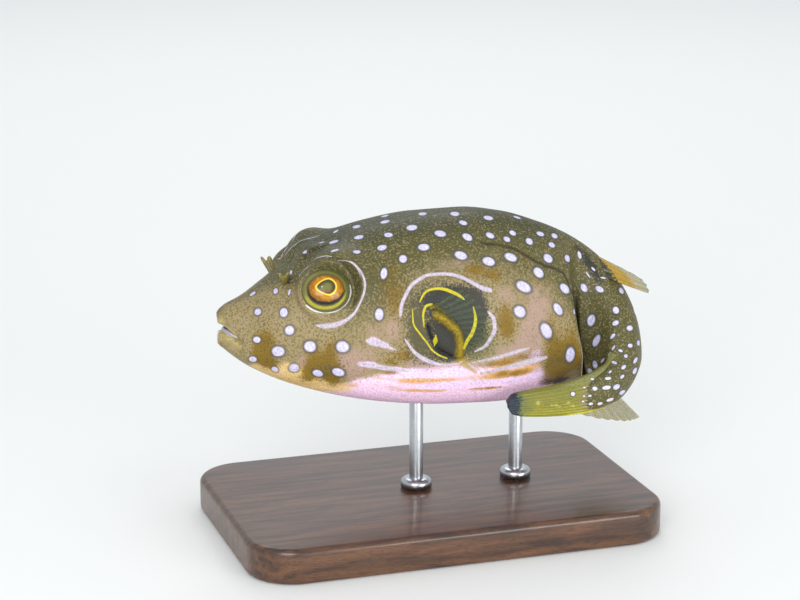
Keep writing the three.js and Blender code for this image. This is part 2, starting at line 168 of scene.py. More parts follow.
def shell(middle: Points, half: Points) -> Shape:
    """A thin closed plate about a grid of points: each point is moved out and in along the grid's normal, and
    the two sheets are joined round the border.

    Args:
        middle: Grid of points, rows x columns x 3.
        half: Half the thickness at each point.

    Returns:
        The closed shape; its vertices are the front sheet's and then the back sheet's.
    """
    rows, columns = middle.shape[:2]
    normal = unit(np.cross(np.gradient(middle, axis=1), np.gradient(middle, axis=0)))
    offset = normal * half[..., None]
    points = np.concatenate([(middle + offset).reshape(-1, 3), (middle - offset).reshape(-1, 3)])
    index = np.arange(rows * columns).reshape(rows, columns)
    rim = np.concatenate([index[0, :-1], index[:-1, -1], index[-1, :0:-1], index[:0:-1, 0]])
    back = rows * columns
    edge = np.stack([rim, rim + back, np.roll(rim, -1) + back, np.roll(rim, -1)], -1)
    front = quads(rows, columns)
    return Shape(points, np.concatenate([front, front[:, ::-1] + back, edge]))


def tube(path: Points, wide: Points, tall: Points, sides: int, over: Sequence[float]) -> Shape:
    """A closed round strand along a path: an ellipse is carried along it, and both ends are closed.

    Args:
        path: Points of its middle line, n x 3.
        wide: Half width of the ellipse at each point.
        tall: Half height at each point.
        sides: Number of vertices round it.
        over: The way its height is measured, roughly across the path.
    """
    ahead = unit(np.gradient(path, axis=0))
    across = unit(np.cross(ahead, over))
    over = np.cross(across, ahead)
    turn = np.linspace(0, 2 * np.pi, sides, endpoint=False)[:, None]
    rings = [
        path[k] + wide[k] * np.sin(turn) * across[k] + tall[k] * np.cos(turn) * over[k]
        for k in range(len(path))
    ]
    points = np.concatenate([*rings, path[:1], path[-1:]])
    count = len(path) * sides
    first, last = np.arange(sides), np.arange(count - sides, count)
    body = quads(len(path), sides, closed=True)
    return Shape(points, np.concatenate([body[:, ::-1], fan(first, count), fan(last[::-1], count + 1)]))


def lathe(profile: Paths, sides: int) -> Shape:
    """A solid of revolution about the z axis: a profile of (radius, height) points from the foot to the top.

    Args:
        profile: The points, starting and ending near the axis.
        sides: Number of vertices round it.
    """
    radius, height = np.array(profile, float).T
    turn = np.linspace(0, 2 * np.pi, sides, endpoint=False)
    ring = np.stack([np.cos(turn), np.sin(turn), np.zeros(sides)], -1)
    grid = ring[None] * radius[:, None, None] + height[:, None, None] * [0.0, 0.0, 1.0]
    points = np.concatenate([grid.reshape(-1, 3), [[0, 0, height[0]], [0, 0, height[-1]]]])
    count = len(profile) * sides
    first, last = np.arange(sides), np.arange(count - sides, count)
    ends = [fan(first[::-1], count), fan(last, count + 1)]
    return Shape(points, np.concatenate([quads(len(profile), sides, closed=True), *ends]))


def make_piece(
    name: str, shape: Shape, material: bpy.types.Material, slot: str, replaces: Sequence[str]
) -> bpy.types.Object:
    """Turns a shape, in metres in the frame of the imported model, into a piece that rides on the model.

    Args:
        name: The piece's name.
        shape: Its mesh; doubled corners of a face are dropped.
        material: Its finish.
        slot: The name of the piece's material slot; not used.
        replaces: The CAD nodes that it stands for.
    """
    mesh = bpy.data.meshes.new(name)
    flat = shape.faces[:, 2] == shape.faces[:, 3]
    faces = shape.faces[~flat].tolist() + shape.faces[flat, :3].tolist()
    mesh.from_pydata(shape.points.tolist(), [], faces)
    for mark, values in shape.marks.items():
        kind, channel = ("FLOAT", "value") if values.ndim == 1 else ("FLOAT_VECTOR", "vector")
        layer = mesh.attributes.new(mark, kind, "POINT")
        layer.data.foreach_set(channel, np.ascontiguousarray(values, np.float32).ravel())
    mesh.polygons.foreach_set("use_smooth", np.ones(len(faces), bool))
    mesh.materials.append(material)
    mesh.validate()
    piece = bpy.data.objects.new(name, mesh)
    bpy.context.scene.collection.objects.link(piece)
    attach(piece, "root")
    if replaces:
        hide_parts(*replaces)
    log.info("%-22s %7d vertices", name, len(shape.points))
    return piece


# ---------------------------------------------------------------- finishes
def linear(colour: str) -> tuple[float, float, float, float]:
    """An sRGB colour in hex as linear light with full opacity."""
    parts = (int(colour[i : i + 2], 16) / 255 for i in (1, 3, 5))
    return (*(c / 12.92 if c <= 0.04045 else ((c + 0.055) / 1.055) ** 2.4 for c in parts), 1.0)


def add(tree: bpy.types.NodeTree, kind: str, inputs: dict | None = None, **settings) -> bpy.types.Node:
    """Adds a shader node with its settings and links.

    Args:
        tree: The material's nodes.
        kind: The node's type, without "ShaderNode".
        inputs: Socket name or index, and its value, or the node or output to link to it.
        settings: Properties of the node.
    """
    made = tree.nodes.new("ShaderNode" + kind)
    for name, value in settings.items():
        setattr(made, name, value)
    for key, value in (inputs or {}).items():
        named = [s for s in made.inputs if s.name == key and s.enabled]
        socket = named[0] if named else made.inputs[key]
        if isinstance(value, bpy.types.Node):
            value = next(s for s in value.outputs if s.enabled)
        if isinstance(value, bpy.types.NodeSocket):
            tree.links.new(value, socket)
        else:
            socket.default_value = value
    return made


OUT_OF_REACH = 3.0  # added to a sheet's mark away from its shapes, past every threshold
NOISE_RANGE = (0.36, 0.64)  # where most of a noise's values lie
COAT_ROUGHNESS = 0.12


@dataclass(frozen=True)
class Layer:
    """A colour laid over the ones before it where a mark of the mesh passes a threshold.

    The colour is absent at `low` and full at `high`. `wobble` and `speckle` are how far the coarse and the
    fine noise move the mark, and `amount` how strong the full colour is. A mark with `sheets` is one distance
    told on several sheets, each of them good only near its own shapes: the finish takes the least. On a
    sheet it is a number without its sign, or with `arrow` the length of a vector.
    """

    mark: str
    colour: str
    low: float
    high: float
    wobble: float = 0.0
    speckle: float = 0.0
    amount: float = 1.0
    sheets: int = 0
    arrow: bool = False


@dataclass(frozen=True)
class Finish:
    """A finish: a base colour, the layers over it, and how its surface takes the light.

    `grain` and `fleck` are the sizes in millimetres of the two noises that mottle it, `mottle` how strongly,
    `bump` the depth of its relief in millimetres and `coat` its clear wet film.
    """

    name: str
    base: str
    layers: tuple[Layer, ...] = ()
    roughness: float = 0.5
    coat: float = 0.0
    metallic: float = 0.0
    grain: float = 2.0
    fleck: float = 0.3
    mottle: float = 0.0
    bump: float = 0.0
    pebble: float = 0.5
    shine: float = 0.5

    def read(self, tree: bpy.types.NodeTree, layer: Layer) -> bpy.types.NodeSocket | bpy.types.Node:
        """Reads a layer's mark; a sheet's mark `away` (0 near a shape, 1 elsewhere) takes it out of reach.

        Args:
            tree: The material's nodes.
            layer: The layer.
        """
        if not layer.sheets:
            return add(tree, "Attribute", attribute_name=layer.mark).outputs["Fac"]
        least = None
        for k in range(layer.sheets):
            mark = add(tree, "Attribute", attribute_name=f"{layer.mark}_{k}")
            away = add(tree, "Attribute", attribute_name=f"{layer.mark}_{k}_away").outputs["Fac"]
            if layer.arrow:
                length = add(tree, "VectorMath", {0: mark.outputs["Vector"]}, operation="LENGTH")
                size = length.outputs["Value"]
            else:
                size = add(tree, "Math", {0: mark.outputs["Fac"]}, operation="ABSOLUTE")
            size = add(tree, "Math", {0: away, 1: OUT_OF_REACH, 2: size}, operation="MULTIPLY_ADD")
            least = size if least is None else add(tree, "Math", {0: least, 1: size}, operation="MINIMUM")
        return least

    def painted(self, tree: bpy.types.NodeTree, place: bpy.types.Node) -> bpy.types.Node:
        """Lays the layers over the base colour, each with its edge moved by both noises.

        Args:
            tree: The material's nodes.
            place: Object coordinates.
        """
        noises = [
            add(tree, "TexNoise", {"Vector": place, "Scale": 1 / (size * MM), "Detail": 2.0})
            for size in (self.grain, self.fleck)
        ]
        centred = [
            add(tree, "Math", {0: noise, 1: 2.0, 2: -1.0}, operation="MULTIPLY_ADD") for noise in noises
        ]
        colour = add(tree, "Mix", {"Factor": 0.0, "A": linear(self.base)}, data_type="RGBA")
        for layer in self.layers:
            mark = self.read(tree, layer)
            for noise, reach in zip(centred, (layer.wobble, layer.speckle)):
                if reach:
                    mark = add(tree, "Math", {0: noise, 1: reach, 2: mark}, operation="MULTIPLY_ADD")
            limits = {"Value": mark, "From Min": layer.low, "From Max": layer.high, "To Max": layer.amount}
            share = add(tree, "MapRange", limits, interpolation_type="SMOOTHSTEP")
            mixed = {"Factor": share, "A": colour, "B": linear(layer.colour)}
            colour = add(tree, "Mix", mixed, data_type="RGBA")
        if self.mottle:
            limits = {
                "Value": noises[1], "From Min": NOISE_RANGE[0], "From Max": NOISE_RANGE[1],
                "To Min": 1 - self.mottle, "To Max": 1 + self.mottle,
            }
            tone = add(tree, "MapRange", limits)
            colour = add(tree, "VectorMath", {0: colour, "Scale": tone}, operation="SCALE")
        return colour

    def material(self) -> bpy.types.Material:
        """Makes the material: the painted colour on a Principled surface, with its fine relief if any."""
        made = bpy.data.materials.new(self.name)
        made.use_nodes = True
        tree = made.node_tree
        surface = tree.nodes["Principled BSDF"]
        surface.inputs["Roughness"].default_value = self.roughness
        surface.inputs["Metallic"].default_value = self.metallic
        surface.inputs["Coat Weight"].default_value = self.coat
        surface.inputs["Coat Roughness"].default_value = COAT_ROUGHNESS
        surface.inputs["Specular IOR Level"].default_value = self.shine
        place = add(tree, "TexCoord").outputs["Object"]
        colour = next(socket for socket in self.painted(tree, place).outputs if socket.enabled)
        tree.links.new(colour, surface.inputs["Base Color"])
        if self.bump:
            pebbles = add(tree, "TexVoronoi", {"Vector": place, "Scale": 1 / (self.pebble * MM)})
            waves = {"Vector": place, "Scale": 1 / (1.6 * self.pebble * MM), "Detail": 3.0}
            ripples = add(tree, "TexNoise", waves)
            both = {0: pebbles.outputs["Distance"], 1: -0.8, 2: ripples}
            relief = add(tree, "Math", both, operation="MULTIPLY_ADD")
            bump = add(tree, "Bump", {"Height": relief, "Strength": 1.0, "Distance": self.bump * MM})
            tree.links.new(bump.outputs[0], surface.inputs["Normal"])
        return made


# ---------------------------------------------------------------- the fish's form
@dataclass
class Anatomy:
    """The form of the body, from the back of the mouth to inside the caudal fin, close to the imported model's.

    A ring of the body is (distance back from the snout, half width, top, widest level, bottom, how far the
    sides lie behind the top and bottom, fullness of the section above and below its widest level).
    """

    rings: Paths = (
        (5.8, 0.3, -0.7, -0.9, -1.1, 0.0, 2.0, 2.0),  # back of the mouth
        (5.2, 2.2, -0.3, -0.9, -1.4, 0.5, 2.0, 2.0),
        (2.4, 2.9, -0.3, -0.9, -1.4, 2.2, 2.0, 2.0),  # inside of the lips
        (0.9, 3.6, 0.0, -1.0, -1.5, 2.8, 2.0, 2.0),
        (0.7, 4.4, 1.6, -1.0, -3.2, 2.6, 2.0, 2.0),  # front of the lips
        (1.9, 5.1, 2.8, -1.1, -4.5, 1.8, 2.0, 2.1),
        (4.8, 6.4, 4.1, -1.4, -6.9, 0.8, 2.0, 2.2),
        (9.0, 8.3, 6.5, -2.0, -9.3, 0.2, 2.1, 2.3),  # nostrils
        (14.0, 10.2, 9.8, -2.6, -11.4, 0.0, 2.3, 2.3),
        (20.0, 12.0, 13.2, -3.0, -13.3, 0.0, 2.4, 2.3),  # behind the eyes
        (27.0, 13.4, 15.1, -3.2, -14.9, 0.0, 2.3, 2.3),
        (35.0, 14.2, 16.1, -3.2, -16.1, 0.0, 2.2, 2.3),  # pectoral fins
        (43.0, 14.1, 16.2, -3.2, -16.8, 0.0, 2.1, 2.2),
        (50.0, 13.1, 15.2, -3.4, -17.1, 0.0, 2.0, 2.2),
        (56.0, 11.6, 13.2, -4.0, -17.1, 0.0, 2.0, 2.1),
        (61.0, 10.0, 10.9, -5.0, -16.9, 0.0, 2.0, 1.8),
        (66.0, 8.2, 7.3, -7.0, -16.6, 0.0, 2.0, 1.7),  # dorsal and anal fins
        (70.0, 6.4, 2.9, -8.8, -16.2, 0.0, 2.0, 1.6),
        (74.0, 4.1, -3.0, -10.4, -15.8, 0.0, 2.0, 1.5),
        (77.0, 2.8, -7.8, -11.6, -15.6, 0.0, 2.0, 1.7),
        (79.5, 2.2, -9.3, -12.2, -15.5, 0.0, 2.0, 2.0),  # root of the caudal fin
        (82.5, 1.4, -10.3, -12.9, -15.9, 0.0, 2.0, 2.0),  # the flesh thins out between its rays
        (85.5, 0.5, -12.3, -13.8, -15.4, 0.0, 2.0, 2.0),
        (88.0, 0.3, -12.9, -14.1, -15.2, 0.0, 2.0, 2.0),
    )
    bend: tuple[float, float, float] = (54.5, 90.0, 9.0)  # where the spine's turn begins and ends, how softly
    turn: float = math.radians(188)  # how far it turns, to the fish's left
    crease_at: float = 62.6  # the fold of skin on the inside of the bend, at mouth level
    crease_lean: float = 0.14  # how far it leans forward for each millimetre up
    crease_wide: float = 2.0
    lip_heights: Sequence[float] = (-17.5, -16, -13, -9.1, -3.6, 1.6, 5, 8)
    lip_shift: Sequence[float] = (0, 1.0, 2.4, 2.6, 1.7, 0.8, 0.3, 0)  # how far the flank is pushed over it
    eye: tuple[float, float, float] = (16.9, 6.5, 5.2)  # middle of the ball, its y without sign
    looks: tuple[float, float, float] = (-0.13, 0.9, 0.41)
    eye_radius: float = 4.9
    brow: tuple[float, float, float] = (17.8, 8.6, 8.3)
    brow_out: tuple[float, float, float] = (-0.1, 0.55, 0.8)
    brow_rise: float = 3.1
    brow_reach: float = 5.2
    brow_front: float = 1.2  # how much sooner it ends in front
    droop: float = 2.3  # how far the corners of the mouth hang
    rim: float = 3.95  # half width of the opening between the lids
    rim_round: float = 1.12  # its width over its height
    spine_step: float = 0.05
    spine_long: float = 110.0

    def __post_init__(self) -> None:
        """Lays out the spine in plan, as equal short steps that turn by the eased share of the bend, and
        finds the snout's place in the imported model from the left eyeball's."""
        self.along = np.arange(0, self.spine_long + self.spine_step, self.spine_step)
        start, end, soft = self.bend
        share = ease(start, start + soft, self.along) * (1 - ease(end - soft, end, self.along))
        turned = np.cumsum(share / share.sum()) * self.turn
        self.heading = np.concatenate([[0], turned[:-1]])
        self.spine_x = np.concatenate([[0], np.cumsum(np.cos(turned))[:-1] * self.spine_step])
        self.spine_y = np.concatenate([[0], -np.cumsum(np.sin(turned))[:-1] * self.spine_step])
        low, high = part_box("eye_left")
        centre = np.array(self.eye) * (1, Side.LEFT.value, 1)
        self.snout = np.array((low + high) / 2) / MM - centre

    def placed(self, points: Points) -> Points:
        """Points of the fish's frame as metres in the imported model's frame."""
        return (points + self.snout) * MM

    def beside(self, u: Points, left: Points, z: Points) -> Points:
        """Points beside the spine: `left` to the fish's left of it, at height z."""
        x, y, heading = (np.interp(u, self.along, v) for v in (self.spine_x, self.spine_y, self.heading))
        return np.stack(np.broadcast_arrays(x - left * np.sin(heading), y - left * np.cos(heading), z), -1)

    def column(self, which: int, step: Points) -> Points:
        """One measure of the rings at any step along them."""
        return curve(range(len(self.rings)), [ring[which] for ring in self.rings], step)

    def step_at(self, u: Points) -> Points:
        """The step along the rings at a distance back from the snout, on the outside of the body."""
        steps = np.linspace(4, len(self.rings) - 1, 4001)
        return np.interp(u, self.column(0, steps), steps)

    def mirrored(self, vector: Sequence[float], side: Side) -> Points:
        """A vector given for y without sign, on one side of the fish."""
        return np.array(vector, float) * (1, side.value, 1)

    def natural(self, step: Points, angle: Points) -> Points:
        """Points of the body before the lids are shaped.

        A section is a super-ellipse about its widest level. On the left it is squeezed behind the crease, and
        the flank in front of the crease is pushed back over it. Then both brows lift the skin near them by a
        bell of the distance.

        Args:
            step: Step along the rings.
            angle: Angle round the body, in radians.
        """
        u, wide, top, level, bottom, sweep, above, below = (self.column(k, step) for k in range(8))
        s, c = np.sin(angle), np.cos(angle)
        full = np.where(c > 0, above, below)
        z = level + np.where(c > 0, top - level, level - bottom) * power(c, 2 / full)
        u = u + sweep * np.abs(s) ** 1.5
        crease = self.crease_at - self.crease_lean * z
        squeezed = ease(crease, crease + self.crease_wide, u)
        narrow = 1 - 0.5 * squeezed * (1 - ease(74, 84, u)) * (1 - ease(6, 11, z))
        p = self.beside(u, wide * np.where(s > 0, narrow, 1) * power(s, 2 / full), z)
        over = curve(self.lip_heights, self.lip_shift, np.clip(z, self.lip_heights[0], self.lip_heights[-1]))
        p[..., 0] += over * ease(56, 61.5, u) * (1 - squeezed) * np.clip(s, 0, 1) ** 0.5
        for side in Side:
            gap = p - self.mirrored(self.brow, side)
            gap[..., 0] *= np.where(gap[..., 0] < 0, self.brow_front, 1.0)
            far = np.linalg.norm(gap, axis=-1) / self.brow_reach
            p = p + (self.brow_rise * np.exp(-(far**3)))[..., None] * unit(self.mirrored(self.brow_out, side))
        return p

    def gaped(self, p: Points) -> Points:
        """Lets the corners of the mouth hang: points are lowered by a bell about the mouth's level, more to
        the sides, and less further back."""
        share = ease(0.8, 4.6, np.abs(p[..., 1])) * (1 - ease(4.5, 9.5, p[..., 0]))
        sunk = self.droop * share * np.exp(-(((p[..., 2] + 1) / 4.2) ** 2))
        return p + np.stack([0.25 * sunk, 0 * sunk, -sunk], -1)

    def rim_distance(self, ahead: Points, up: Points) -> Points:
        """Distance from an eye's axis, stretched upwards near the ball so that the opening is a little wider
        than high, and forwards beyond it so that the lids end sooner in front."""
        plain = np.maximum(np.hypot(ahead, up), 1e-6)
        r = np.hypot(ahead, up * (1 + (self.rim_round - 1) * (1 - ease(4.5, 7.5, plain))))
        front = np.clip(ahead / plain, 0, 1) ** 2
        return r * (1 + 0.6 * front * ease(4.1, 5.0, plain))

    def eye_axes(self, side: Side) -> tuple[Points, Points, Points, Points]:
        """Middle of an eyeball and three unit vectors: forwards across it, up across it, and out of it."""
        out = unit(self.mirrored(self.looks, side))
        up = unit(np.array([0.0, 0.0, 1.0]) - out[2] * out)
        ahead = unit(np.array([-1.0, 0.0, 0.0]) + out[0] * out + up[0] * up)
        return self.mirrored(self.eye, side), ahead, up, out

    def ball_height(self, ahead: Points, up: Points) -> Points:
        """How far the eyeball stands out over its middle, at a place across it."""
        return np.sqrt(np.maximum(self.eye_radius**2 - ahead**2 - up**2, 0.0))

    def lidded(self, p: Points, side: Side) -> Points:
        """Shapes the skin round an eye, along the way the eye looks.

        Outside the opening the skin rises to a low round mound and carries ringed wrinkles; near the rim it
        is held down to just over the ball; inside the rim it plunges under the ball.

        Args:
            p: Points of the skin.
            side: Which eye.
        """
        middle, ahead, up, out = self.eye_axes(side)
        v = p - middle
        a, b, h = v @ ahead, v @ up, v @ out
        r = self.rim_distance(a, b)
        ball = self.ball_height(a, b)
        rim, lid = self.rim, 0.12
        mound = curve(
            (rim, 4.4, 5.0, 5.7, 6.5, 7.3, 8.6), (2.9, 3.3, 3.2, 2.65, 1.6, 0.2, -3.0), np.clip(r, rim, 8.6)
        )
        edge = ball + lid + 0.6 * (r - rim)
        made = smooth_max(h, edge + (mound - edge) * ease(4.1, 4.8, r), 0.4)
        held = edge + 2.2 * np.clip(r - rim, 0, None)
        made = np.maximum(-smooth_max(-made, -held, 0.25), ball + lid)
        bearing = np.arctan2(b, a)
        sway = 0.3 * np.sin(3 * bearing + 0.8) + 0.18 * np.sin(7 * bearing)
        ringed = np.abs(np.sin(np.pi * (r - rim) / 0.6 + sway)) ** 0.6 - 0.6
        fade = ease(4.0, 4.4, r) * (1 - ease(6.4, 8.2, r)) * (1 - 0.6 * np.clip(a / 5, 0, 1))
        made = made + 0.1 * ringed * fade
        under = np.maximum(ball + lid - 1.8 * (rim - r), 1.9)
        made = np.where(r < rim, under, made)
        near = (p[..., 1] * side.value > 0) & (h > -5) & (r < 11)
        share = np.where(near, 1 - ease(7.6, 9.4, r), 0.0)
        return p + ((made - h) * share)[..., None] * out

    def skin(self, step: Points, angle: Points) -> Points:
        """Points of the skin, with both eyes' lids."""
        p = self.natural(step, angle)
        for side in Side:
            p = self.lidded(p, side)
        return self.gaped(p)

    def frame_at(self, u: float, angle: float) -> tuple[Points, Points, Points, Points]:
        """A point of the skin and three unit vectors there: back along it, down round it, and out of it."""
        step, turn, small = self.step_at(u), math.radians(angle), 0.01
        p = self.skin(step, np.float64(turn))
        back = unit(self.skin(step + small, np.float64(turn)) - p)
        down = self.skin(step, np.float64(turn + small)) - p
        out = unit(np.cross(down, back))
        return p, back, np.cross(back, out), out

    def line(self, places: Paths, count: int = 40) -> Points:
        """Points of the skin along a smooth line through places given as (u, angle, ...)."""
        table = np.array([place[:2] for place in places], float)
        share = np.concatenate([[0], np.cumsum(np.hypot(*(np.diff(table, axis=0) * (1, 0.22)).T))])
        at = np.linspace(0, share[-1], count)
        u, angle = (curve(share, table[:, k], at) for k in (0, 1))
        return self.skin(self.step_at(u), np.radians(angle))


# ---------------------------------------------------------------- markings
SPOT_SHEETS = 6
SMALL_SHEETS = 3
LIKE_APART = 2.6  # least room in millimetres for the right side's like of a spot
RANDOM_APART = 4.2  # least room in millimetres for a spot drawn at random
RANDOM_TRIES = 600
SHEET_APART = 2.6  # how far apart in millimetres the rims of one sheet's spots should lie
FIN_RING = (36.0, -78.0)  # middle of the ring round the right pectoral fin, as (u, angle)
FIN_RING_RADIUS = 8.8
BEYOND = 9.0  # an arrow where no spot is near
FAR = 50.0  # a distance from a line where there is none, in half widths or millimetres
LOWERED = 0.7  # how far a soft tone is lowered where it has next to nothing

# Where the rows of these tables come from: nearly all places of the spots, and about half of those along
# the light lines, were not set by hand. Separate helper scripts worked them out from points picked by eye,
# and some were then rounded or adjusted.
# Spots: (u, angle, half length, width over length, turn of the length from the fish's own towards its belly).
HEAD_SPOTS = (
    (6.4, 11, 0.6, 0.7, -10), (9.5, 29, 0.65, 0.65, -75), (11.3, 39.5, 0.55, 0.4, -55),
    (12.4, 17, 0.5, 0.65, 75), (6, 41, 0.68, 0.85, 50), (9.9, 58, 0.78, 0.85, -80),
    (10.5, 77, 0.8, 0.95, 0), (8.6, 98, 1.05, 0.83, -12), (4.6, 72, 0.68, 0.8, 25),
    (3.9, 113, 0.75, 0.8, -35), (8.5, 130, 0.75, 0.8, 85), (11.3, 116, 0.95, 0.85, -70),
    (13.6, 89.5, 1.0, 0.95, 0), (18.6, 89, 1.1, 0.87, 13), (15, 116, 0.9, 0.8, 16),
    (18.1, 110.5, 1.1, 0.7, 16), (24.5, 74, 1.0, 0.7, 90), (25.9, 51, 1.0, 0.56, -72),
    (22.2, 34, 0.85, 0.55, -20), (26.5, 32.5, 0.8, 0.7, -5), (19.7, 12, 0.8, 0.75, 0),
    (18.2, 3.5, 0.55, 0.8, 90), (15.2, 2.5, 0.6, 0.7, 85), (18.7, 31, 0.7, 0.55, 0),
    (23.6, 17, 0.8, 0.72, 10), (28.2, 22.5, 0.74, 0.78, 19), (24.4, 1.5, 0.85, 0.8, -88),
    (21.3, -2.5, 0.7, 0.6, -47), (28.9, 6, 0.85, 0.8, -10), (29.9, -4, 0.8, 0.75, -42),
)
TRUNK_SPOTS = (
    (33.2, 37.5, 1.0, 0.66, 3), (29.4, 43.5, 0.74, 0.9, -68), (39.2, 45, 1.12, 0.68, 20),
    (43.8, 49.5, 1.1, 0.7, 15), (36.7, 28.5, 0.98, 0.73, 14), (41.1, 33, 0.9, 0.8, 45),
    (41.3, 20.5, 0.75, 0.82, 38), (45.2, 32.5, 0.76, 0.8, 20), (32.4, 20, 0.94, 0.78, -8),
    (40.8, 9, 0.9, 0.88, -70), (46.2, 16, 0.95, 0.73, -10), (35.6, 4, 0.9, 0.75, -50),
    (48, 46.5, 1.2, 0.62, 14), (49.6, 29, 0.64, 0.92, 0), (48.1, 34.5, 0.64, 0.88, 0),
    (49.6, 63, 1.5, 0.57, 22), (48.5, 76, 1.2, 0.77, 26), (52.8, 54.5, 1.04, 0.8, 25),
    (55.2, 44, 0.96, 0.88, 0), (58.1, 61.5, 1.2, 0.66, 12), (56, 74.5, 1.26, 0.58, 40),
    (53.5, 86.5, 1.6, 0.58, 48), (58.3, 105.5, 1.55, 0.6, 78), (61.4, 35.5, 1.05, 0.62, -47),
    (52.3, 34, 0.77, 0.9, -33), (55.1, 24, 0.86, 0.66, -20), (58.3, 20, 0.88, 0.64, -50),
    (56.8, 32, 0.72, 0.78, -20), (52, 9, 0.75, 0.7, 0), (60.5, 74, 0.5, 0.55, 60),
    (64.4, 22, 0.68, 0.5, 36),
)
TAIL_SPOTS = (
    (66.4, 48.5, 0.8, 0.65, 7), (69.5, 28, 0.8, 0.58, -36), (70.4, -22, 0.78, 0.73, 53),
    (69.2, 64.5, 1.05, 0.66, 54), (71.2, 74.3, 1.2, 0.5, 75), (72.7, -2, 0.67, 0.87, 0),
    (73.9, 2.6, 0.63, 0.68, 64), (73.7, -34, 0.82, 0.58, 57), (74.9, 20, 0.62, 0.55, 48),
    (76, 12.6, 0.52, 0.4, 28), (76.2, 36, 0.52, 0.5, 60), (73.7, 83.5, 0.85, 0.3, -75),
    (70.8, 108, 0.78, 0.75, 87), (68.7, 124, 0.62, 0.9, 83), (73.4, -64, 0.85, 0.55, 36),
    (75.1, -41.5, 0.58, 0.65, 59), (76.2, -16, 0.43, 0.58, -81), (76.3, -36, 0.38, 0.88, 35),
    (75.2, -70, 0.95, 0.4, 18), (77.6, -45, 0.7, 0.45, 14), (75.7, -83.5, 0.95, 0.53, 14),
    (78.6, -63, 0.63, 0.44, 1), (78, -7.4, 0.56, 0.56, -77), (79.9, -19, 0.45, 0.46, -8),
    (79.9, -83, 0.76, 0.6, 5), (78.5, -113.5, 1.0, 0.48, 19), (67.3, 20, 0.45, 0.4, -13),
    (69.1, 9, 0.52, 0.28, -60), (66.7, 33.5, 0.72, 0.17, 0),
)
# White lines: (u, angle, half width) along each.
WHITE_LINES = (
    (  # over the pectoral fin
        (27.9, 75.8, 0.28), (28.1, 71, 0.3), (28.9, 65.5, 0.3), (30.1, 60, 0.32), (31.5, 57, 0.3),
        (33.2, 55, 0.28), (35.1, 55, 0.28), (37.1, 55.8, 0.3), (38.8, 57.8, 0.3), (40.4, 60.8, 0.34),
        (42.3, 64.2, 0.42), (43.8, 65.4, 0.36),
    ),
    (  # in front of it and below
        (28.3, 85.5, 0.14), (29.6, 90, 0.24), (30.8, 94, 0.36), (32.2, 97.5, 0.4), (33.8, 100, 0.3),
        (35.3, 101.2, 0.22), (37, 101.2, 0.18), (38.4, 99.8, 0.12),
    ),
    (  # behind it
        (42.7, 75.5, 0.22), (43.7, 79.8, 0.34), (43.8, 84.3, 0.38), (43.1, 88, 0.34), (41.9, 92, 0.28),
        (40.2, 94.3, 0.16),
    ),
    # on the lower flank
    ((40, 101.5, 0.1), (43, 100.5, 0.26), (46, 98.6, 0.36), (49, 96.4, 0.36), (50.4, 95.6, 0.1)),
    ((41.5, 111.5, 0.2), (45, 109, 0.36), (49, 106.5, 0.5), (52, 105, 0.6), (54, 104, 0.3)),
    ((22.3, 86, 0.3), (23, 86.8, 0.62), (24.6, 88, 0.55), (26.2, 89.6, 0.3), (27.2, 90.4, 0.05)),
    ((21.1, 99, 0.2), (22.4, 100.2, 0.42), (24.5, 101.8, 0.4), (27.5, 104.4, 0.3), (29.5, 106, 0.1)),
    ((13.1, -9.4, 0.03), (14.2, -4, 0.1), (15.5, -1.5, 0.1), (17, -2.5, 0.14), (18.9, -7, 0.05)),  # far brow
    ((15.5, -33.5, 0.03), (16.2, -33, 0.1), (17, -29.5, 0.03)),
)
YELLOW_LINES = (
    (
        (31.2, 69, 0.1), (32.1, 64.7, 0.16), (33, 63.2, 0.18), (34.2, 62.8, 0.2), (35.4, 63.3, 0.24),
        (36.6, 64.8, 0.26), (37.8, 66.8, 0.24), (38.8, 69.2, 0.12),
    ),
    ((40.2, 73, 0.1), (40.5, 78.8, 0.24), (39.8, 85.5, 0.3), (39, 88.3, 0.32), (38.2, 91.5, 0.3)),
    (
        (29.9, 72, 0.07), (29.9, 78.3, 0.12), (31.3, 85.3, 0.13), (32.2, 88.3, 0.13), (33.1, 91.4, 0.13),
        (34.4, 94.8, 0.12), (35.6, 96.8, 0.09),
    ),
    ((33.2, 70.5, 0.2), (32.2, 71.3, 0.2), (31.6, 76, 0.16), (31.7, 81.5, 0.08)),
    ((33.55, 85, 0.1), (33.6, 86.8, 0.24), (33.6, 88.6, 0.3), (33.5, 90, 0.1)),
)
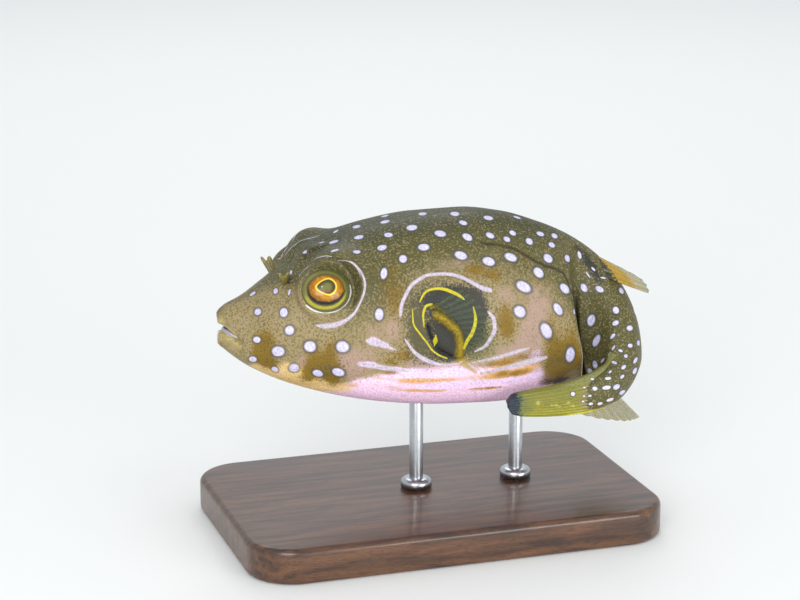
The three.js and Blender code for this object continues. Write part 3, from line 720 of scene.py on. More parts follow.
# Soft patches of a tone: (u, angle, half length along, half length round, strength), in millimetres.
BROWN_PATCHES = (
    (14.2, 101, 1.5, 2.4, 1.0), (13.6, 121, 1.3, 2.2, 1.3), (16.6, 97, 1.3, 3.2, 1.2),
    (17.6, 117, 1.4, 2.6, 1.2), (15.9, 109, 2.0, 1.8, 1.0), (6.6, 80, 1.7, 2.4, 0.9),
    (5.3, 92, 1.5, 2.2, 1.0), (5.9, 107, 1.6, 2.6, 1.1), (7.4, 120, 1.2, 1.2, 1.0),
    (28.5, 93, 1.6, 1.4, 0.9), (26, 97, 1.2, 1.0, 0.8), (25.5, 60, 2.8, 4.0, 0.8), (28, 53, 2.4, 2.4, 0.6),
    (27.5, 68, 1.6, 3.0, 0.7), (45.6, 79, 1.6, 2.6, 1.3), (46.4, 85, 1.2, 1.6, 1.0),
    (41.5, 54, 2.6, 1.4, 1.2), (44.5, 57.5, 1.3, 1.2, 1.1), (35.5, 33, 3.0, 4.4, 0.5),
    (31, 44, 2.6, 1.4, 0.5), (47.5, 38, 2.8, 1.8, 0.6), (53, 57, 1.8, 1.6, 0.5), (54.3, 86, 1.2, 2.4, 0.8),
    (55.8, 100, 2.2, 3.4, 1.1), (56.4, 113, 2.6, 3.2, 1.2), (58.6, 96, 1.4, 4.0, 0.9),
    (56.5, 122, 2.2, 2.4, 1.2), (60, 112, 1.4, 3.0, 0.9), (50.5, 48, 2.0, 1.6, 0.6),
    (58, 48, 2.0, 3.0, 0.6), (26.2, 107, 1.6, 0.5, 0.9), (44, 104.5, 4.4, 0.7, 1.0),
    (50, 101, 3.0, 0.6, 0.8), (47.5, 113.6, 4.4, 0.8, 1.0), (43.5, 127, 3.4, 0.35, 0.9),
    (66.5, 30, 1.6, 2.6, 0.4), (68.5, 40, 1.6, 2.0, 0.4), (73, 92, 2.0, 2.0, 0.6), (30, 20, 1.8, 1.6, 0.4),
    (38.5, 12, 2.4, 2.0, 0.4), (49, 15, 2.8, 2.4, 0.4), (43, 25, 2.0, 2.0, 0.4), (54, 8, 2.4, 3.0, 0.3),
    (61, 25, 2.6, 3.0, 0.3),
)
PINK_PATCHES = (
    (52, 74, 3.0, 4.0, 0.9), (50.5, 90, 2.6, 3.0, 1.0), (46.5, 97, 4.0, 1.6, 0.8), (38, 50, 4.0, 1.3, 0.6),
    (46, 68, 2.4, 2.0, 0.7), (24, 84, 3.0, 3.0, 0.5), (12.5, 106, 1.6, 1.4, 0.8), (22, 100, 2.4, 2.4, 0.7),
    (30.5, 100, 3.0, 1.5, 0.8), (34, 102, 3.0, 1.0, 0.8), (16, 95, 3.0, 2.6, 0.4), (27, 82, 1.6, 2.6, 0.6),
    (7.8, 127, 2.0, 1.4, 0.5), (19.6, 103, 2.2, 3.0, 1.0), (10.8, 132, 2.4, 1.8, 1.0),
    (51, 106, 2.0, 1.6, 1.0),
)
# Of the dark patches, the row at (11.8, 25) is painted shadow beside the left nasal flap.
DARK_PATCHES = (
    (35.4, 75, 3.4, 3.2, 1.4), (34.6, 89, 2.2, 2.8, 1.3), (38.6, 81, 3.0, 4.6, 1.3),
    (37.4, 71, 3.2, 2.2, 1.2), (36.2, 95, 1.8, 1.2, 0.9), (41.2, 77, 1.6, 3.2, 0.9),
    (34.5, 68, 3.0, 1.6, 1.2), (40.3, 67, 2.2, 2.0, 0.6), (64, 13, 1.4, 0.9, 0.9),
    (66.3, 19, 1.8, 0.9, 1.3), (68.3, 20, 1.5, 0.9, 1.0), (57.6, 131, 2.2, 1.3, 1.3),
    (11.8, 25, 0.8, 1.0, 1.0), (73.2, 3, 0.7, 0.8, 0.6), (54.5, 129, 1.4, 0.9, 0.8),
)
ORANGE_PATCHES = (
    (30.8, 114.5, 3.4, 0.8, 1.2), (36, 114.5, 4.0, 0.6, 0.9), (32, 126, 6.0, 0.42, 1.2),
    (36, 133.5, 12.0, 0.22, 0.8), (38.2, 98.4, 0.8, 0.8, 1.0), (44.5, 114.5, 3.6, 1.2, 1.2),
    (43.5, 127.5, 3.6, 0.5, 1.0), (50.5, 112.5, 3.4, 1.0, 1.1), (51, 121, 3.4, 0.5, 0.9),
    (26.5, 122, 3.8, 0.3, 0.7), (25, 113, 2.4, 0.4, 0.7), (45, 104.5, 5.0, 1.0, 0.8),
    (20.2, 125, 2.2, 0.7, 0.8),
)
LAVENDER_PATCHES = (
    (23.5, 86.7, 1.1, 0.75, 1.2), (25.3, 88.3, 1.2, 0.45, 1.1), (22.6, 100.3, 1.8, 0.55, 1.2),
    (25.8, 103, 1.8, 0.4, 1.1), (34.5, 108.5, 6.5, 0.8, 1.0), (30, 107, 2.5, 1.0, 0.9),
    (47, 121, 7.0, 0.8, 0.9), (36, 119.5, 7.0, 0.9, 0.9), (51.5, 101, 2.6, 1.2, 0.7),
    (52.5, 116, 2.0, 1.6, 0.8), (9.6, 132, 1.0, 0.9, 0.6),
)
# Soft dark stipple: inside the white ring of the pectoral fin, on the cheek and on the back.
SHADE_PATCHES = (
    (35, 68, 5.0, 3.2, 0.9), (38.5, 82, 5.0, 5.0, 0.9), (32.5, 92, 3.4, 3.4, 0.8),
    (40.5, 89, 2.4, 3.0, 0.8), (30.5, 76, 2.6, 4.5, 0.7), (30.5, 85, 1.8, 3.0, 0.6),
    (56, 108, 3.0, 4.0, 0.6), (24.5, 62, 3.0, 4.0, 0.5), (16.5, 112, 3.4, 4.0, 0.5),
    (7, 105, 2.4, 4.0, 0.4), (37, 30, 6.0, 5.0, 0.4), (50, 30, 6.0, 5.0, 0.3),
)
# Golden tone: the rim of the chin and lower cheeks, and a touch on the back.
GOLD_PATCHES = (
    (7, 146, 2.5, 2.5, 0.9), (11, 132, 2.5, 3.0, 1.0), (14, 140, 4.0, 3.0, 1.0), (18.5, 134, 3.0, 1.6, 0.8),
    (12, 152, 5.0, 4.0, 0.9), (55, 40, 2.0, 1.0, 0.3), (11.5, 121, 1.5, 1.5, 0.6),
)
# Where the tan of the flank begins below the back, and the pale belly below that: (u, angle).
FLANK_EDGE = (
    (0, 0), (5, 4), (9, 16), (13, 42), (20, 76), (26, 66), (30, 58), (37, 50), (45, 54), (55, 62), (60, 78),
    (66, 104), (72, 150),
)
BELLY_EDGE = (
    (0, 178), (10, 172), (14.5, 148), (18.5, 128), (23, 113), (28, 106), (36, 103), (44, 104), (52, 112),
    (58, 132), (66, 150), (74, 165), (80, 176),
)
# Spots on the root of the caudal fin: (u, share of its height from below, half length, half height).
CAUDAL_SPOTS = (
    (80.9, 0.86, 0.5, 0.22), (81.5, 0.66, 0.66, 0.34), (83.2, 0.7, 0.36, 0.33), (83.1, 0.92, 0.3, 0.18),
    (80.7, 0.28, 0.76, 0.32), (82.4, 0.25, 0.42, 0.3), (83.8, 0.29, 0.36, 0.26), (84.7, 0.77, 0.23, 0.14),
    (84, 0.53, 0.26, 0.2), (84.9, 0.55, 0.22, 0.14), (85.1, 0.4, 0.23, 0.18), (86.7, 0.68, 0.38, 0.33),
)
# Fainter, yellower ones further out.
CAUDAL_FLECKS = (
    (87.5, 0.46, 0.33, 0.22), (86.7, 0.32, 0.28, 0.18), (89.5, 0.41, 0.26, 0.18), (90.3, 0.44, 0.22, 0.15),
    (92.6, 0.56, 0.4, 0.36), (88.9, 0.36, 0.22, 0.15),
)
# Seams, grooves and folds of the skin: (u, angle) along each.
FIN_ROOT = ((33.3, 75), (35.5, 79.5), (37.4, 85.5), (37.7, 91.5), (37.4, 96.5))
FIN_STREAK = ((37.4, 96.5), (38.4, 101), (39.6, 105.5), (41, 110))
# The gill slit: its line is painted near black, as painted shadow inside the opening.
GILL_SLIT = ((32.3, 80), (32.9, 86), (34.1, 91), (36.6, 96.4))
# White lines about each eye, on its own axis: (bearing, distance, half width), the bearing in degrees from
# the back of the eye, rising over it. The first is a white line of the skin; the two short ones, over the
# upper lid, are painted highlights.
EYE_ARCS = (
    (
        (66, 4.95, 0.05), (54, 5.45, 0.13), (42, 5.8, 0.18), (25, 6.15, 0.21), (7, 6.25, 0.22),
        (-8, 6.05, 0.19), (-27, 5.8, 0.17), (-43, 5.85, 0.24), (-62, 5.75, 0.36), (-79, 5.65, 0.48),
        (-93, 5.6, 0.46), (-107, 5.6, 0.2),
    ),
    # painted highlights on the upper lid's edge
    ((108, 5.4, 0.03), (98, 5.5, 0.1), (88, 5.45, 0.1), (78, 5.3, 0.03)),
    ((146, 4.7, 0.04), (139, 4.85, 0.12), (131, 4.8, 0.08), (124, 4.9, 0.12), (116, 4.9, 0.04)),
)
# The pale edge of the lower lid: (bearing, half width).
LID_EDGE = (
    (-152, 0.03), (-144, 0.12), (-126, 0.13), (-106, 0.08), (-98, 0.03), (-90, 0.06), (-66, 0.1),
    (-46, 0.11), (-20, 0.1), (2, 0.08), (16, 0.02),
)
# The groove along the back, darkened along its line as painted shade: (u, angle) along it.
BACK_GROOVE = (
    (43, 37.5), (45.4, 39), (48.5, 39.8), (49.9, 42.3), (51.5, 45.5), (53.2, 48), (55.1, 49.7),
    (56.9, 50.3), (58.7, 52), (60.4, 57.5), (61.5, 60.5),
)
# Wrinkles on the tail, darkened along their lines as painted shade: (u, angle) along each.
TAIL_FOLDS = (
    ((66.6, 92), (68.6, 84), (70.6, 74), (72.4, 60)),
    ((67.4, 103), (70.2, 96), (72.8, 84), (74.6, 66)),
    ((69, 112), (71.8, 106), (74.2, 96), (76, 80)),
    ((71, 122), (73.4, 116), (75.4, 108)),
    ((66, 84), (67.6, 74), (69.2, 62), (70.6, 50)),
)


@dataclass
class Markings:
    """Works out the marks of the skin at each vertex from places told on it.

    A mark is a number that the finish turns into colour. Near a place the distance is taken in the three
    directions there, so a mark never shows through on the far side of a thin part.
    """

    body: Anatomy
    points: Points
    u: Points
    angle: Points
    step: Points
    seed: int = 12
    through: float = 1.5  # how soon a mark dies away into the body, in millimetres

    def arrow(self, u: float, angle: float, along: float, round_: float, turn: float = 0.0) -> Points:
        """Vector from a place to each vertex, in half lengths along and round the body, or along and across
        a direction turned from the body's length by `turn` degrees; its length is 1 at an ellipse's rim."""
        p, back, down, out = self.body.frame_at(u, angle)
        c, s = math.cos(math.radians(turn)), math.sin(math.radians(turn))
        v = self.points - p
        lengthwise, crosswise = (c * back + s * down) / along, (c * down - s * back) / round_
        return v @ np.stack([lengthwise, crosswise, out / self.through], -1)

    def distance(self, u: float, angle: float, along: float, round_: float) -> Points:
        """Length of the vector that `arrow` gives."""
        return np.linalg.norm(self.arrow(u, angle, along, round_), axis=-1)

    def all_spots(self) -> list[tuple[float, ...]]:
        """Every round spot of the skin: those told, their like on the right side, each moved a little, and
        more drawn at random where the right side has room left. None of those added lies in the ring round
        the right pectoral fin."""
        rng = np.random.default_rng(self.seed)
        fin = self.body.frame_at(*FIN_RING)[0]
        rows = [*HEAD_SPOTS, *TRUNK_SPOTS, *TAIL_SPOTS]
        taken = [self.body.frame_at(*row[:2])[0] for row in rows]
        wanted = [
            ((u + rng.normal(0, 0.7), -angle + rng.normal(0, 3.0), long, share, -turn), LIKE_APART)
            for u, angle, long, share, turn in rows
            if angle > 20 and u < 66
        ]
        for _ in range(RANDOM_TRIES):
            u, size = rng.uniform(22, 71), rng.uniform(0.6, 1.0)
            angle = -rng.uniform(15, 98 + 2.5 * max(u - 55, 0))
            row = (u, angle, size, rng.uniform(0.65, 0.95), rng.uniform(-90, 90))
            wanted.append((row, RANDOM_APART))
        for row, apart in wanted:
            place = self.body.frame_at(*row[:2])[0]
            roomy = min(np.linalg.norm(place - other) for other in taken) > apart
            if roomy and np.linalg.norm(place - fin) > FIN_RING_RADIUS:
                taken.append(place)
                rows.append(row)
        return rows

    def spots(self) -> dict[str, Points]:
        """The spots as vectors of length 1 at a spot's rim, dealt out to sheets so that those of one sheet
        are well apart: between two that are close the vector would pass through nothing on its way from one
        to the other.

        Returns:
            The marks `spot_0` and so on, and how far away each has nothing near.
        """
        sheets = [[] for _ in range(SPOT_SHEETS)]
        for u, angle, long, share, turn in self.all_spots():
            place = self.body.frame_at(u, angle)[0]
            room = [
                min([np.linalg.norm(place - p) - long - r for p, r, _ in sheet], default=99)
                for sheet in sheets
            ]
            best = next((k for k, gap in enumerate(room) if gap > SHEET_APART), int(np.argmax(room)))
            sheets[best].append((place, long, (u, angle, long, long * share, turn)))
        marks = {}
        for k, sheet in enumerate(sheets):
            nearest, beyond = np.full((len(self.points), 3), BEYOND), np.full(len(self.points), BEYOND)
            for _, _, row in sheet:
                arrow = self.arrow(*row)
                past = (np.linalg.norm(arrow, axis=-1) - 1) * min(row[2], row[3])
                closer = past < beyond
                nearest[closer], beyond[closer] = arrow[closer], past[closer]
            marks[f"spot_{k}"], marks[f"spot_{k}_away"] = nearest, ease(0.6, 0.95, beyond)
        return marks

    def patches(self, patches: Paths) -> Points:
        """Strength of a soft tone: each patch adds a bell of its distance. It is lowered where there is next
        to none, so that the finish's noises can't lift it over a threshold there."""
        strength = np.zeros(len(self.points))
        for u, angle, along, round_, most in patches:
            strength += most * np.exp(-(self.distance(u, angle, along, round_) ** 2))
        return strength - LOWERED * (1 - ease(0.0, 0.2, strength))

    def both_sides(self, rows: Paths, flip_over: float = 28.0) -> list[tuple[float, ...]]:
        """Places of the left side and the like on the right, each moved a little as on a real fish."""
        rng = np.random.default_rng(self.seed)
        rows = [tuple(row) for row in rows]
        moved = [(u + rng.normal(0, 0.7), -angle + rng.normal(0, 3.0), *rest) for u, angle, *rest in rows]
        return rows + [row for row, source in zip(moved, rows) if source[1] > flip_over]

    def ribbon(self, path: Points, half: Points) -> tuple[Points, Points, Points]:
        """Places of the vertices beside a line.

        Args:
            path: Points of the line on the skin.
            half: Its half width at each, in millimetres.

        Returns:
            For each vertex the signed distance across the line in half widths, how far it is from the line or
            past its ends in millimetres, and a number that is 0 beside the line and 1 away from it.
        """
        count = len(self.points)
        across, far, away = np.full(count, FAR), np.full(count, FAR), np.ones(count)
        near = np.all((self.points > path.min(0) - 2.0) & (self.points < path.max(0) + 2.0), axis=1)
        step = np.diff(path, axis=0)
        v = self.points[near][:, None] - path[:-1]
        share = np.clip(np.einsum("vsk,sk->vs", v, step) / (step**2).sum(1), 0, 1)
        gap = v - share[..., None] * step
        best = np.argmin((gap**2).sum(-1), axis=1)
        rows = np.arange(len(v))
        gap, share, ahead = gap[rows, best], share[rows, best], unit(step[best])
        width = np.interp(best + share, np.arange(len(half)), half)
        normal = self.normals[near]
        signed = (gap * unit(np.cross(normal, ahead))).sum(1)
        past, deep = np.abs((gap * ahead).sum(1)), np.abs((gap * normal).sum(1))
        across[near] = signed / width
        far[near] = np.abs(signed) + 3 * past + 2 * deep
        beside = (1 - ease(0.45, 0.8, np.abs(signed) - width)) * (1 - ease(0.0, 0.3, past)) * (deep < 1.0)
        away[near] = 1 - beside
        return across, far, away

    def ribbons(self, paths: Sequence[tuple[Points, Points]]) -> tuple[Points, Points]:
        """Distance across the nearest of several lines and how far away it is, as `ribbon` gives them."""
        across, far, away = (np.full(len(self.points), v) for v in (FAR, FAR, 1.0))
        for path, half in paths:
            new = self.ribbon(path, half)
            closer = new[1] < far
            across, far, away = (np.where(closer, a, b) for a, b in zip(new, (across, far, away)))
        return across, away

    def laid(self, lines: Sequence[Paths]) -> list[tuple[Points, Points]]:
        """Lays lines of (u, angle, half width) on the skin, and mirrors those starting on the left flank."""
        laid = []
        for places in lines:
            half = [place[2] for place in places]
            for sign in (1, -1) if places[0][1] > 28 else (1,):
                path = self.body.line([(place[0], place[1] * sign) for place in places])
                laid.append((path, curve(range(len(half)), half, np.linspace(0, len(half) - 1, len(path)))))
        return laid

    def eye_lines(self) -> list[tuple[Points, Points]]:
        """The white lines about both eyes, with painted highlights on the upper lids among them: each place is
        the vertex nearest to it across the eye's axis.
        """
        laid = []
        for side in Side:
            middle, ahead, up, out = self.body.eye_axes(side)
            v = self.points - middle
            flat, height = v @ np.stack([-ahead, up], -1), v @ out
            for places in EYE_ARCS:
                bearing, r, half = np.array(places, float).T
                t, fine = np.arange(len(r)), np.linspace(0, len(r) - 1, 48)
                turn = np.radians(curve(t, bearing, fine))
                at = curve(t, r, fine)[:, None] * np.stack([np.cos(turn), np.sin(turn)], -1)
                gap = ((flat[:, None] - at) ** 2).sum(-1) + 100.0 * (height < -4)[:, None]
                level = height[np.argmin(gap, axis=0)]
                level = np.convolve(np.pad(level, 2, "edge"), np.ones(5) / 5, "valid")
                path = middle + at @ np.stack([-ahead, up]) + level[:, None] * out
                laid.append((path, curve(t, half, fine)))
        return laid

    def lid_edge(self) -> tuple[Points, Points]:
        """The pale edge of the lower lids, as `ribbons` gives a line: it runs just outside the opening."""
        across, away = np.full(len(self.points), FAR), np.ones(len(self.points))
        bearings, half = np.array(LID_EDGE, float).T
        for side in Side:
            middle, ahead, up, out = self.body.eye_axes(side)
            v = self.points - middle
            a, b = v @ ahead, v @ up
            bearing = np.degrees(np.arctan2(b, -a))
            off = self.body.rim_distance(a, b) - self.body.rim - 0.14
            near = (np.abs(off) < 1.2) & (v @ out > 0)
            across[near] = (off / curve(bearings, half, np.clip(bearing, bearings[0], bearings[-1])))[near]
            first, last = bearings[0], bearings[-1]
            ends = ease(first, first + 6, bearing) * (1 - ease(last - 6, last, bearing))
            away[near] = (1 - ends * (1 - ease(0.5, 0.9, np.abs(off))))[near]
        return across, away

    def trench(self, lines: Sequence[Paths], wide: float, mirror: bool = True) -> Points:
        """A bell across each line, 1 on it: for grooves, ridges and their shading."""
        depth = np.zeros(len(self.points))
        for places in lines:
            for sign in (1, -1) if mirror else (1,):
                path = self.body.line([(u, angle * sign) for u, angle in places])
                _, far, _ = self.ribbon(path, np.full(len(path), wide))
                depth = np.maximum(depth, np.exp(-((far / wide) ** 2)))
        return depth

    def below(self, line: Paths, soft: float) -> Points:
        """How far a vertex lies below a line of (u, angle), eased over `soft` degrees on both sides of it."""
        us, angles = zip(*line)
        edge = curve(us, angles, np.clip(self.u, us[0], us[-1]))
        return ease(-soft, soft, np.abs(self.angle) - edge)

    def work_out(self, normals: Points) -> dict[str, Points]:
        """All the marks of the skin.

        Args:
            normals: Outward normals at the vertices.
        """
        self.normals = normals
        everywhere = np.abs(self.angle)
        marks = {
            "pink": self.patches(self.both_sides(PINK_PATCHES)),
            "dark": self.patches(self.both_sides(DARK_PATCHES)),
            "shade": self.patches(self.both_sides(SHADE_PATCHES)),
            "orange": self.patches(self.both_sides(ORANGE_PATCHES)),
            "lavender": self.patches(self.both_sides(LAVENDER_PATCHES)),
            "gold": self.patches(self.both_sides(GOLD_PATCHES)),
            "top": (1 - ease(2, 46, everywhere)) * ease(9, 20, self.u) * (1 - ease(54, 66, self.u)),
            "flank": self.below(FLANK_EDGE, 20),
            "belly": self.below(BELLY_EDGE, 8),
            "lips": 1 - 1.8 * ease(-1.3, 1.6, self.step - 4.1) - 0.4 * ease(95, 130, everywhere),
            "tail": ease(84, 88, self.u),
            "keel": (1 - ease(15, 50, 180 - everywhere)) * ease(70.5, 74, self.u),
        }
        marks["brown"] = self.patches(self.both_sides(BROWN_PATCHES)) * (0.5 + 0.5 * marks["flank"])
        marks |= self.spots()
        for name, spots, sheets in (("small", CAUDAL_SPOTS, SMALL_SHEETS), ("faint", CAUDAL_FLECKS, 1)):
            marks |= side_spots(self.u, self.points[:, 2], Caudal(self.body), name, spots, sheets, first=80.2)
        shaded = 0.3 * np.maximum(marks["shade"], 0)
        marks["stipple"] = 0.6 - 0.25 * marks["flank"] - 1.2 * marks["belly"] + shaded
        lines = {
            "white_0": self.laid(WHITE_LINES), "white_1": self.eye_lines(),
            "yellow_0": self.laid(YELLOW_LINES[:3]), "yellow_1": self.laid(YELLOW_LINES[3:]),
        }
        for name, paths in lines.items():
            marks[name], marks[name + "_away"] = self.ribbons(paths)
        marks["lid_0"], marks["lid_0_away"] = self.lid_edge()
        marks["fin_root"] = self.trench([FIN_ROOT], 0.8)
        marks["fin_streak"] = self.trench([FIN_STREAK], 0.5)
        # The gill slit's mark also paints shadow into the opening.
        marks["slit"] = self.trench([GILL_SLIT], 0.35)
        # The groove's mark also darkens its line: painted shade.
        marks["groove"] = self.trench([BACK_GROOVE], 0.27, mirror=False)
        # The folds' mark also darkens them: painted shade.
        marks["fold"] = self.trench(TAIL_FOLDS, 0.22, mirror=False)
        behind = self.u - self.body.crease_at + self.body.crease_lean * self.points[:, 2]
        inner = ease(40, 70, self.angle) * (1 - ease(5, 9, self.points[:, 2]))
        deeper = 0.5 + 0.5 * ease(3, -9, self.points[:, 2])
        # A near-black line in the crease of the bend: painted shade inside the fold.
        marks["crease"] = inner * deeper * ease(-0.15, 0.1, behind) * (1 - ease(1.9, 3.3, behind))
        # A pale line on the lip of the crease: a painted highlight.
        marks["crease_lip"] = inner * deeper**2 * ease(-0.75, -0.5, behind) * (1 - ease(-0.25, -0.05, behind))
        return marks


# ---------------------------------------------------------------- skin
@dataclass
class Skin:
    """The whole skin as one closed mesh: a grid over the body, with a round grid let in about each eye."""

    body: Anatomy
    rows: int = 352
    columns: int = 214
    patch_from: float = 6.9  # ring step of the front edge of the square round an eye
    patch_to: float = 10.45
    patch_top: float = 9.0  # angles of its upper and lower edges
    patch_bottom: float = 112.0
    circle: float = 7.7  # radius of the round grid, in millimetres
    square_rings: int = 20
    round_rings: int = 34
    finish: Finish = Finish(
        # Living skin of a pufferfish: scaleless, leathery, finely pebbled and stippled, barely wet.
        name="wet pufferfish skin",
        base="#5d5a34",
        layers=(
            Layer("top", "#343a18", 0.1, 0.9, wobble=0.3, speckle=0.3),
            Layer("flank", "#897a52", 0.0, 1.0, wobble=0.4, speckle=0.4),
            Layer("stipple", "#bfa985", 0.4, 0.1, speckle=1.9, amount=0.42),
            Layer("pink", "#ab8f80", 0.2, 0.9, wobble=0.4, speckle=0.6, amount=0.85),
            Layer("belly", "#f8d2ee", 0.1, 0.9, wobble=0.25, speckle=0.35),
            Layer("gold", "#ecc987", 0.25, 0.8, wobble=0.4, speckle=0.6, amount=0.9),
            Layer("orange", "#cf9a2a", 0.2, 1.0, wobble=0.5, speckle=0.6, amount=0.85),
            Layer("lavender", "#e6cbee", 0.3, 0.8, wobble=0.3, speckle=0.3, amount=0.9),
            Layer("brown", "#7d6008", 0.1, 1.05, wobble=0.5, speckle=0.8, amount=0.9),
            Layer("stipple", "#2f2a12", 0.45, 0.85, speckle=1.9, amount=0.5),
            Layer("tail", "#828028", 0.2, 1.0, wobble=0.3),
            Layer("shade", "#4c4a34", 0.25, 1.05, wobble=0.3, speckle=1.2, amount=0.85),
            # dark: dark patches of the skin, and painted shadow beside the left nasal flap
            Layer("dark", "#2d2e2b", 0.2, 1.1, wobble=0.4, speckle=0.9, amount=0.92),
            Layer("lips", "#bfae70", 0.1, 1.0, wobble=0.9, speckle=0.9, amount=0.75),
            # Painted shade along the back groove.
            Layer("groove", "#332d1c", 0.1, 0.8, amount=0.85),
            # Painted shade in the tail's wrinkles.
            Layer("fold", "#4c4830", 0.2, 1.0, amount=0.5),
            # Painted shade inside the crease.
            Layer("crease", "#14130d", 0.1, 0.7, amount=0.95),
            # Painted highlight on the lip of the crease.
            Layer("crease_lip", "#cfc6b8", 0.3, 0.9, amount=0.7),
            Layer("fin_streak", "#a9902a", 0.3, 0.9, wobble=0.2, speckle=0.5, amount=0.7),
            # Painted shadow inside the gill slit.
            Layer("slit", "#141517", 0.2, 0.8),
            Layer("fin_root", "#72600c", 0.2, 0.75, speckle=0.4),
            Layer("fin_root", "#8f7a10", 0.65, 1.0, speckle=0.4, amount=0.8),
            Layer("keel", "#c3b42a", 0.35, 0.9, wobble=0.3, speckle=0.3),
            Layer("small", "#3f3f22", 1.7, 1.1, amount=0.7, arrow=True, sheets=SMALL_SHEETS),
            Layer("small", "#cdcad6", 1.15, 0.75, arrow=True, sheets=SMALL_SHEETS),
            Layer(
                "spot", "#3a423f", 1.6, 1.0, wobble=0.1, speckle=0.25, amount=0.7, arrow=True,
                sheets=SPOT_SHEETS,
            ),
            Layer("spot", "#c8c2de", 1.12, 0.72, wobble=0.12, speckle=0.16, arrow=True, sheets=SPOT_SHEETS),
            # White lines of the skin, among them painted highlights on the upper lids.
            Layer("white", "#bcb0be", 1.3, 0.5, wobble=0.1, speckle=0.4, sheets=2),
            Layer("lid", "#d9d6cf", 1.3, 0.6, sheets=1),
            Layer("yellow", "#beb224", 1.35, 0.7, sheets=2),
        ),
        roughness=0.5,
        coat=0.04,
        shine=0.22,
        grain=1.8,
        fleck=0.32,
        mottle=0.2,
        bump=0.05,
        pebble=0.45,
    )

    def grid(self) -> tuple[Points, Points]:
        """Steps and angles of the grid's rows and columns, closer where there is more to show.

        Returns:
            The step of each row, and the angle of each column in radians.
        """
        steps = np.linspace(0, len(self.body.rings) - 1, 3000)
        p = self.body.natural(steps, np.full(steps.shape, -np.pi / 2))
        u = self.body.column(0, steps)
        bend = 0.9 * ease(58, 61, u) * (1 - ease(67, 72, u))
        finer = 1 + 0.5 * (1 - ease(24, 34, u)) + bend + 0.5 * ease(72, 75, u)
        length = np.concatenate([[0], np.cumsum(np.linalg.norm(np.diff(p, axis=0), axis=1) * finer[1:])])
        rows = np.interp(np.linspace(0, length[-1], self.rows), length, steps)
        turn = np.radians(np.linspace(-180, 180, 3000))
        weight = np.cumsum(1 + 0.45 * np.exp(-(((np.abs(np.degrees(turn)) - 72) / 32) ** 2)))
        columns = np.interp(np.linspace(weight[0], weight[-1], self.columns + 1)[:-1], weight, turn)
        return rows, columns

    def inverse(self, target: Points, side: Side) -> tuple[Points, Points]:
        """Steps and angles of the body's points that lie over places across an eye, by Newton's method.

        Args:
            target: Places across the eye, forwards and up, in millimetres.
            side: Which eye.

        Returns:
            Their steps and angles.
        """
        middle, ahead, up, _ = self.body.eye_axes(side)
        step = np.full(target.shape[:-1], self.body.step_at(self.body.eye[0]))
        angle = np.full(target.shape[:-1], math.radians(-62 * side.value))
        step, angle = step - target[..., 0] * 0.14, angle + target[..., 1] * 0.07 * side.value
        small = 1e-4
        seen = lambda s, a: (self.body.natural(s, a) - middle) @ np.stack([ahead, up], -1)  # noqa: E731
        for _ in range(14):
            here = seen(step, angle)
            ds, da = (seen(step + small, angle) - here) / small, (seen(step, angle + small) - here) / small
            miss = target - here
            det = ds[..., 0] * da[..., 1] - ds[..., 1] * da[..., 0]
            step = step + 0.8 * (miss[..., 0] * da[..., 1] - miss[..., 1] * da[..., 0]) / det
            angle = angle + 0.8 * (ds[..., 0] * miss[..., 1] - ds[..., 1] * miss[..., 0]) / det
        return step, angle

    def eye_patch(self, steps: Points, angles: Points, side: Side) -> tuple[Points, Points, Points]:
        """Round grid about an eye, whose outer ring is the border of the square cut from the body's grid.

        Between the square and a circle the rings change from one to the other; inside the circle each ring
        is a true circle about the eye, down to its middle.

        Args:
            steps: Steps of the border's vertices, in order round it.
            angles: Their angles.
            side: Which eye.

        Returns:
            Steps, angles and points of the rings after the border, ring by ring.
        """
        middle, ahead, up, _ = self.body.eye_axes(side)
        across = (self.body.natural(steps, angles) - middle) @ np.stack([ahead, up], -1)
        turn = np.arctan2(across[:, 1], across[:, 0])
        way = np.stack([np.cos(turn), np.sin(turn)], -1)
        fine = curve((0, 0.45, 0.8, 1), (self.circle, 5.4, 4.0, 3.3), np.linspace(0, 1, self.round_rings))
        step, angle = self.inverse(fine[:, None, None] * way, side)
        share = np.linspace(0, 1, self.square_rings + 1)[1:-1, None]
        outer = (steps + (step[0] - steps) * share, angles + (angle[0] - angles) * share)
        all_steps, all_angles = np.concatenate([outer[0], step]), np.concatenate([outer[1], angle])
        points = self.body.skin(all_steps, all_angles)
        return all_steps, all_angles, points

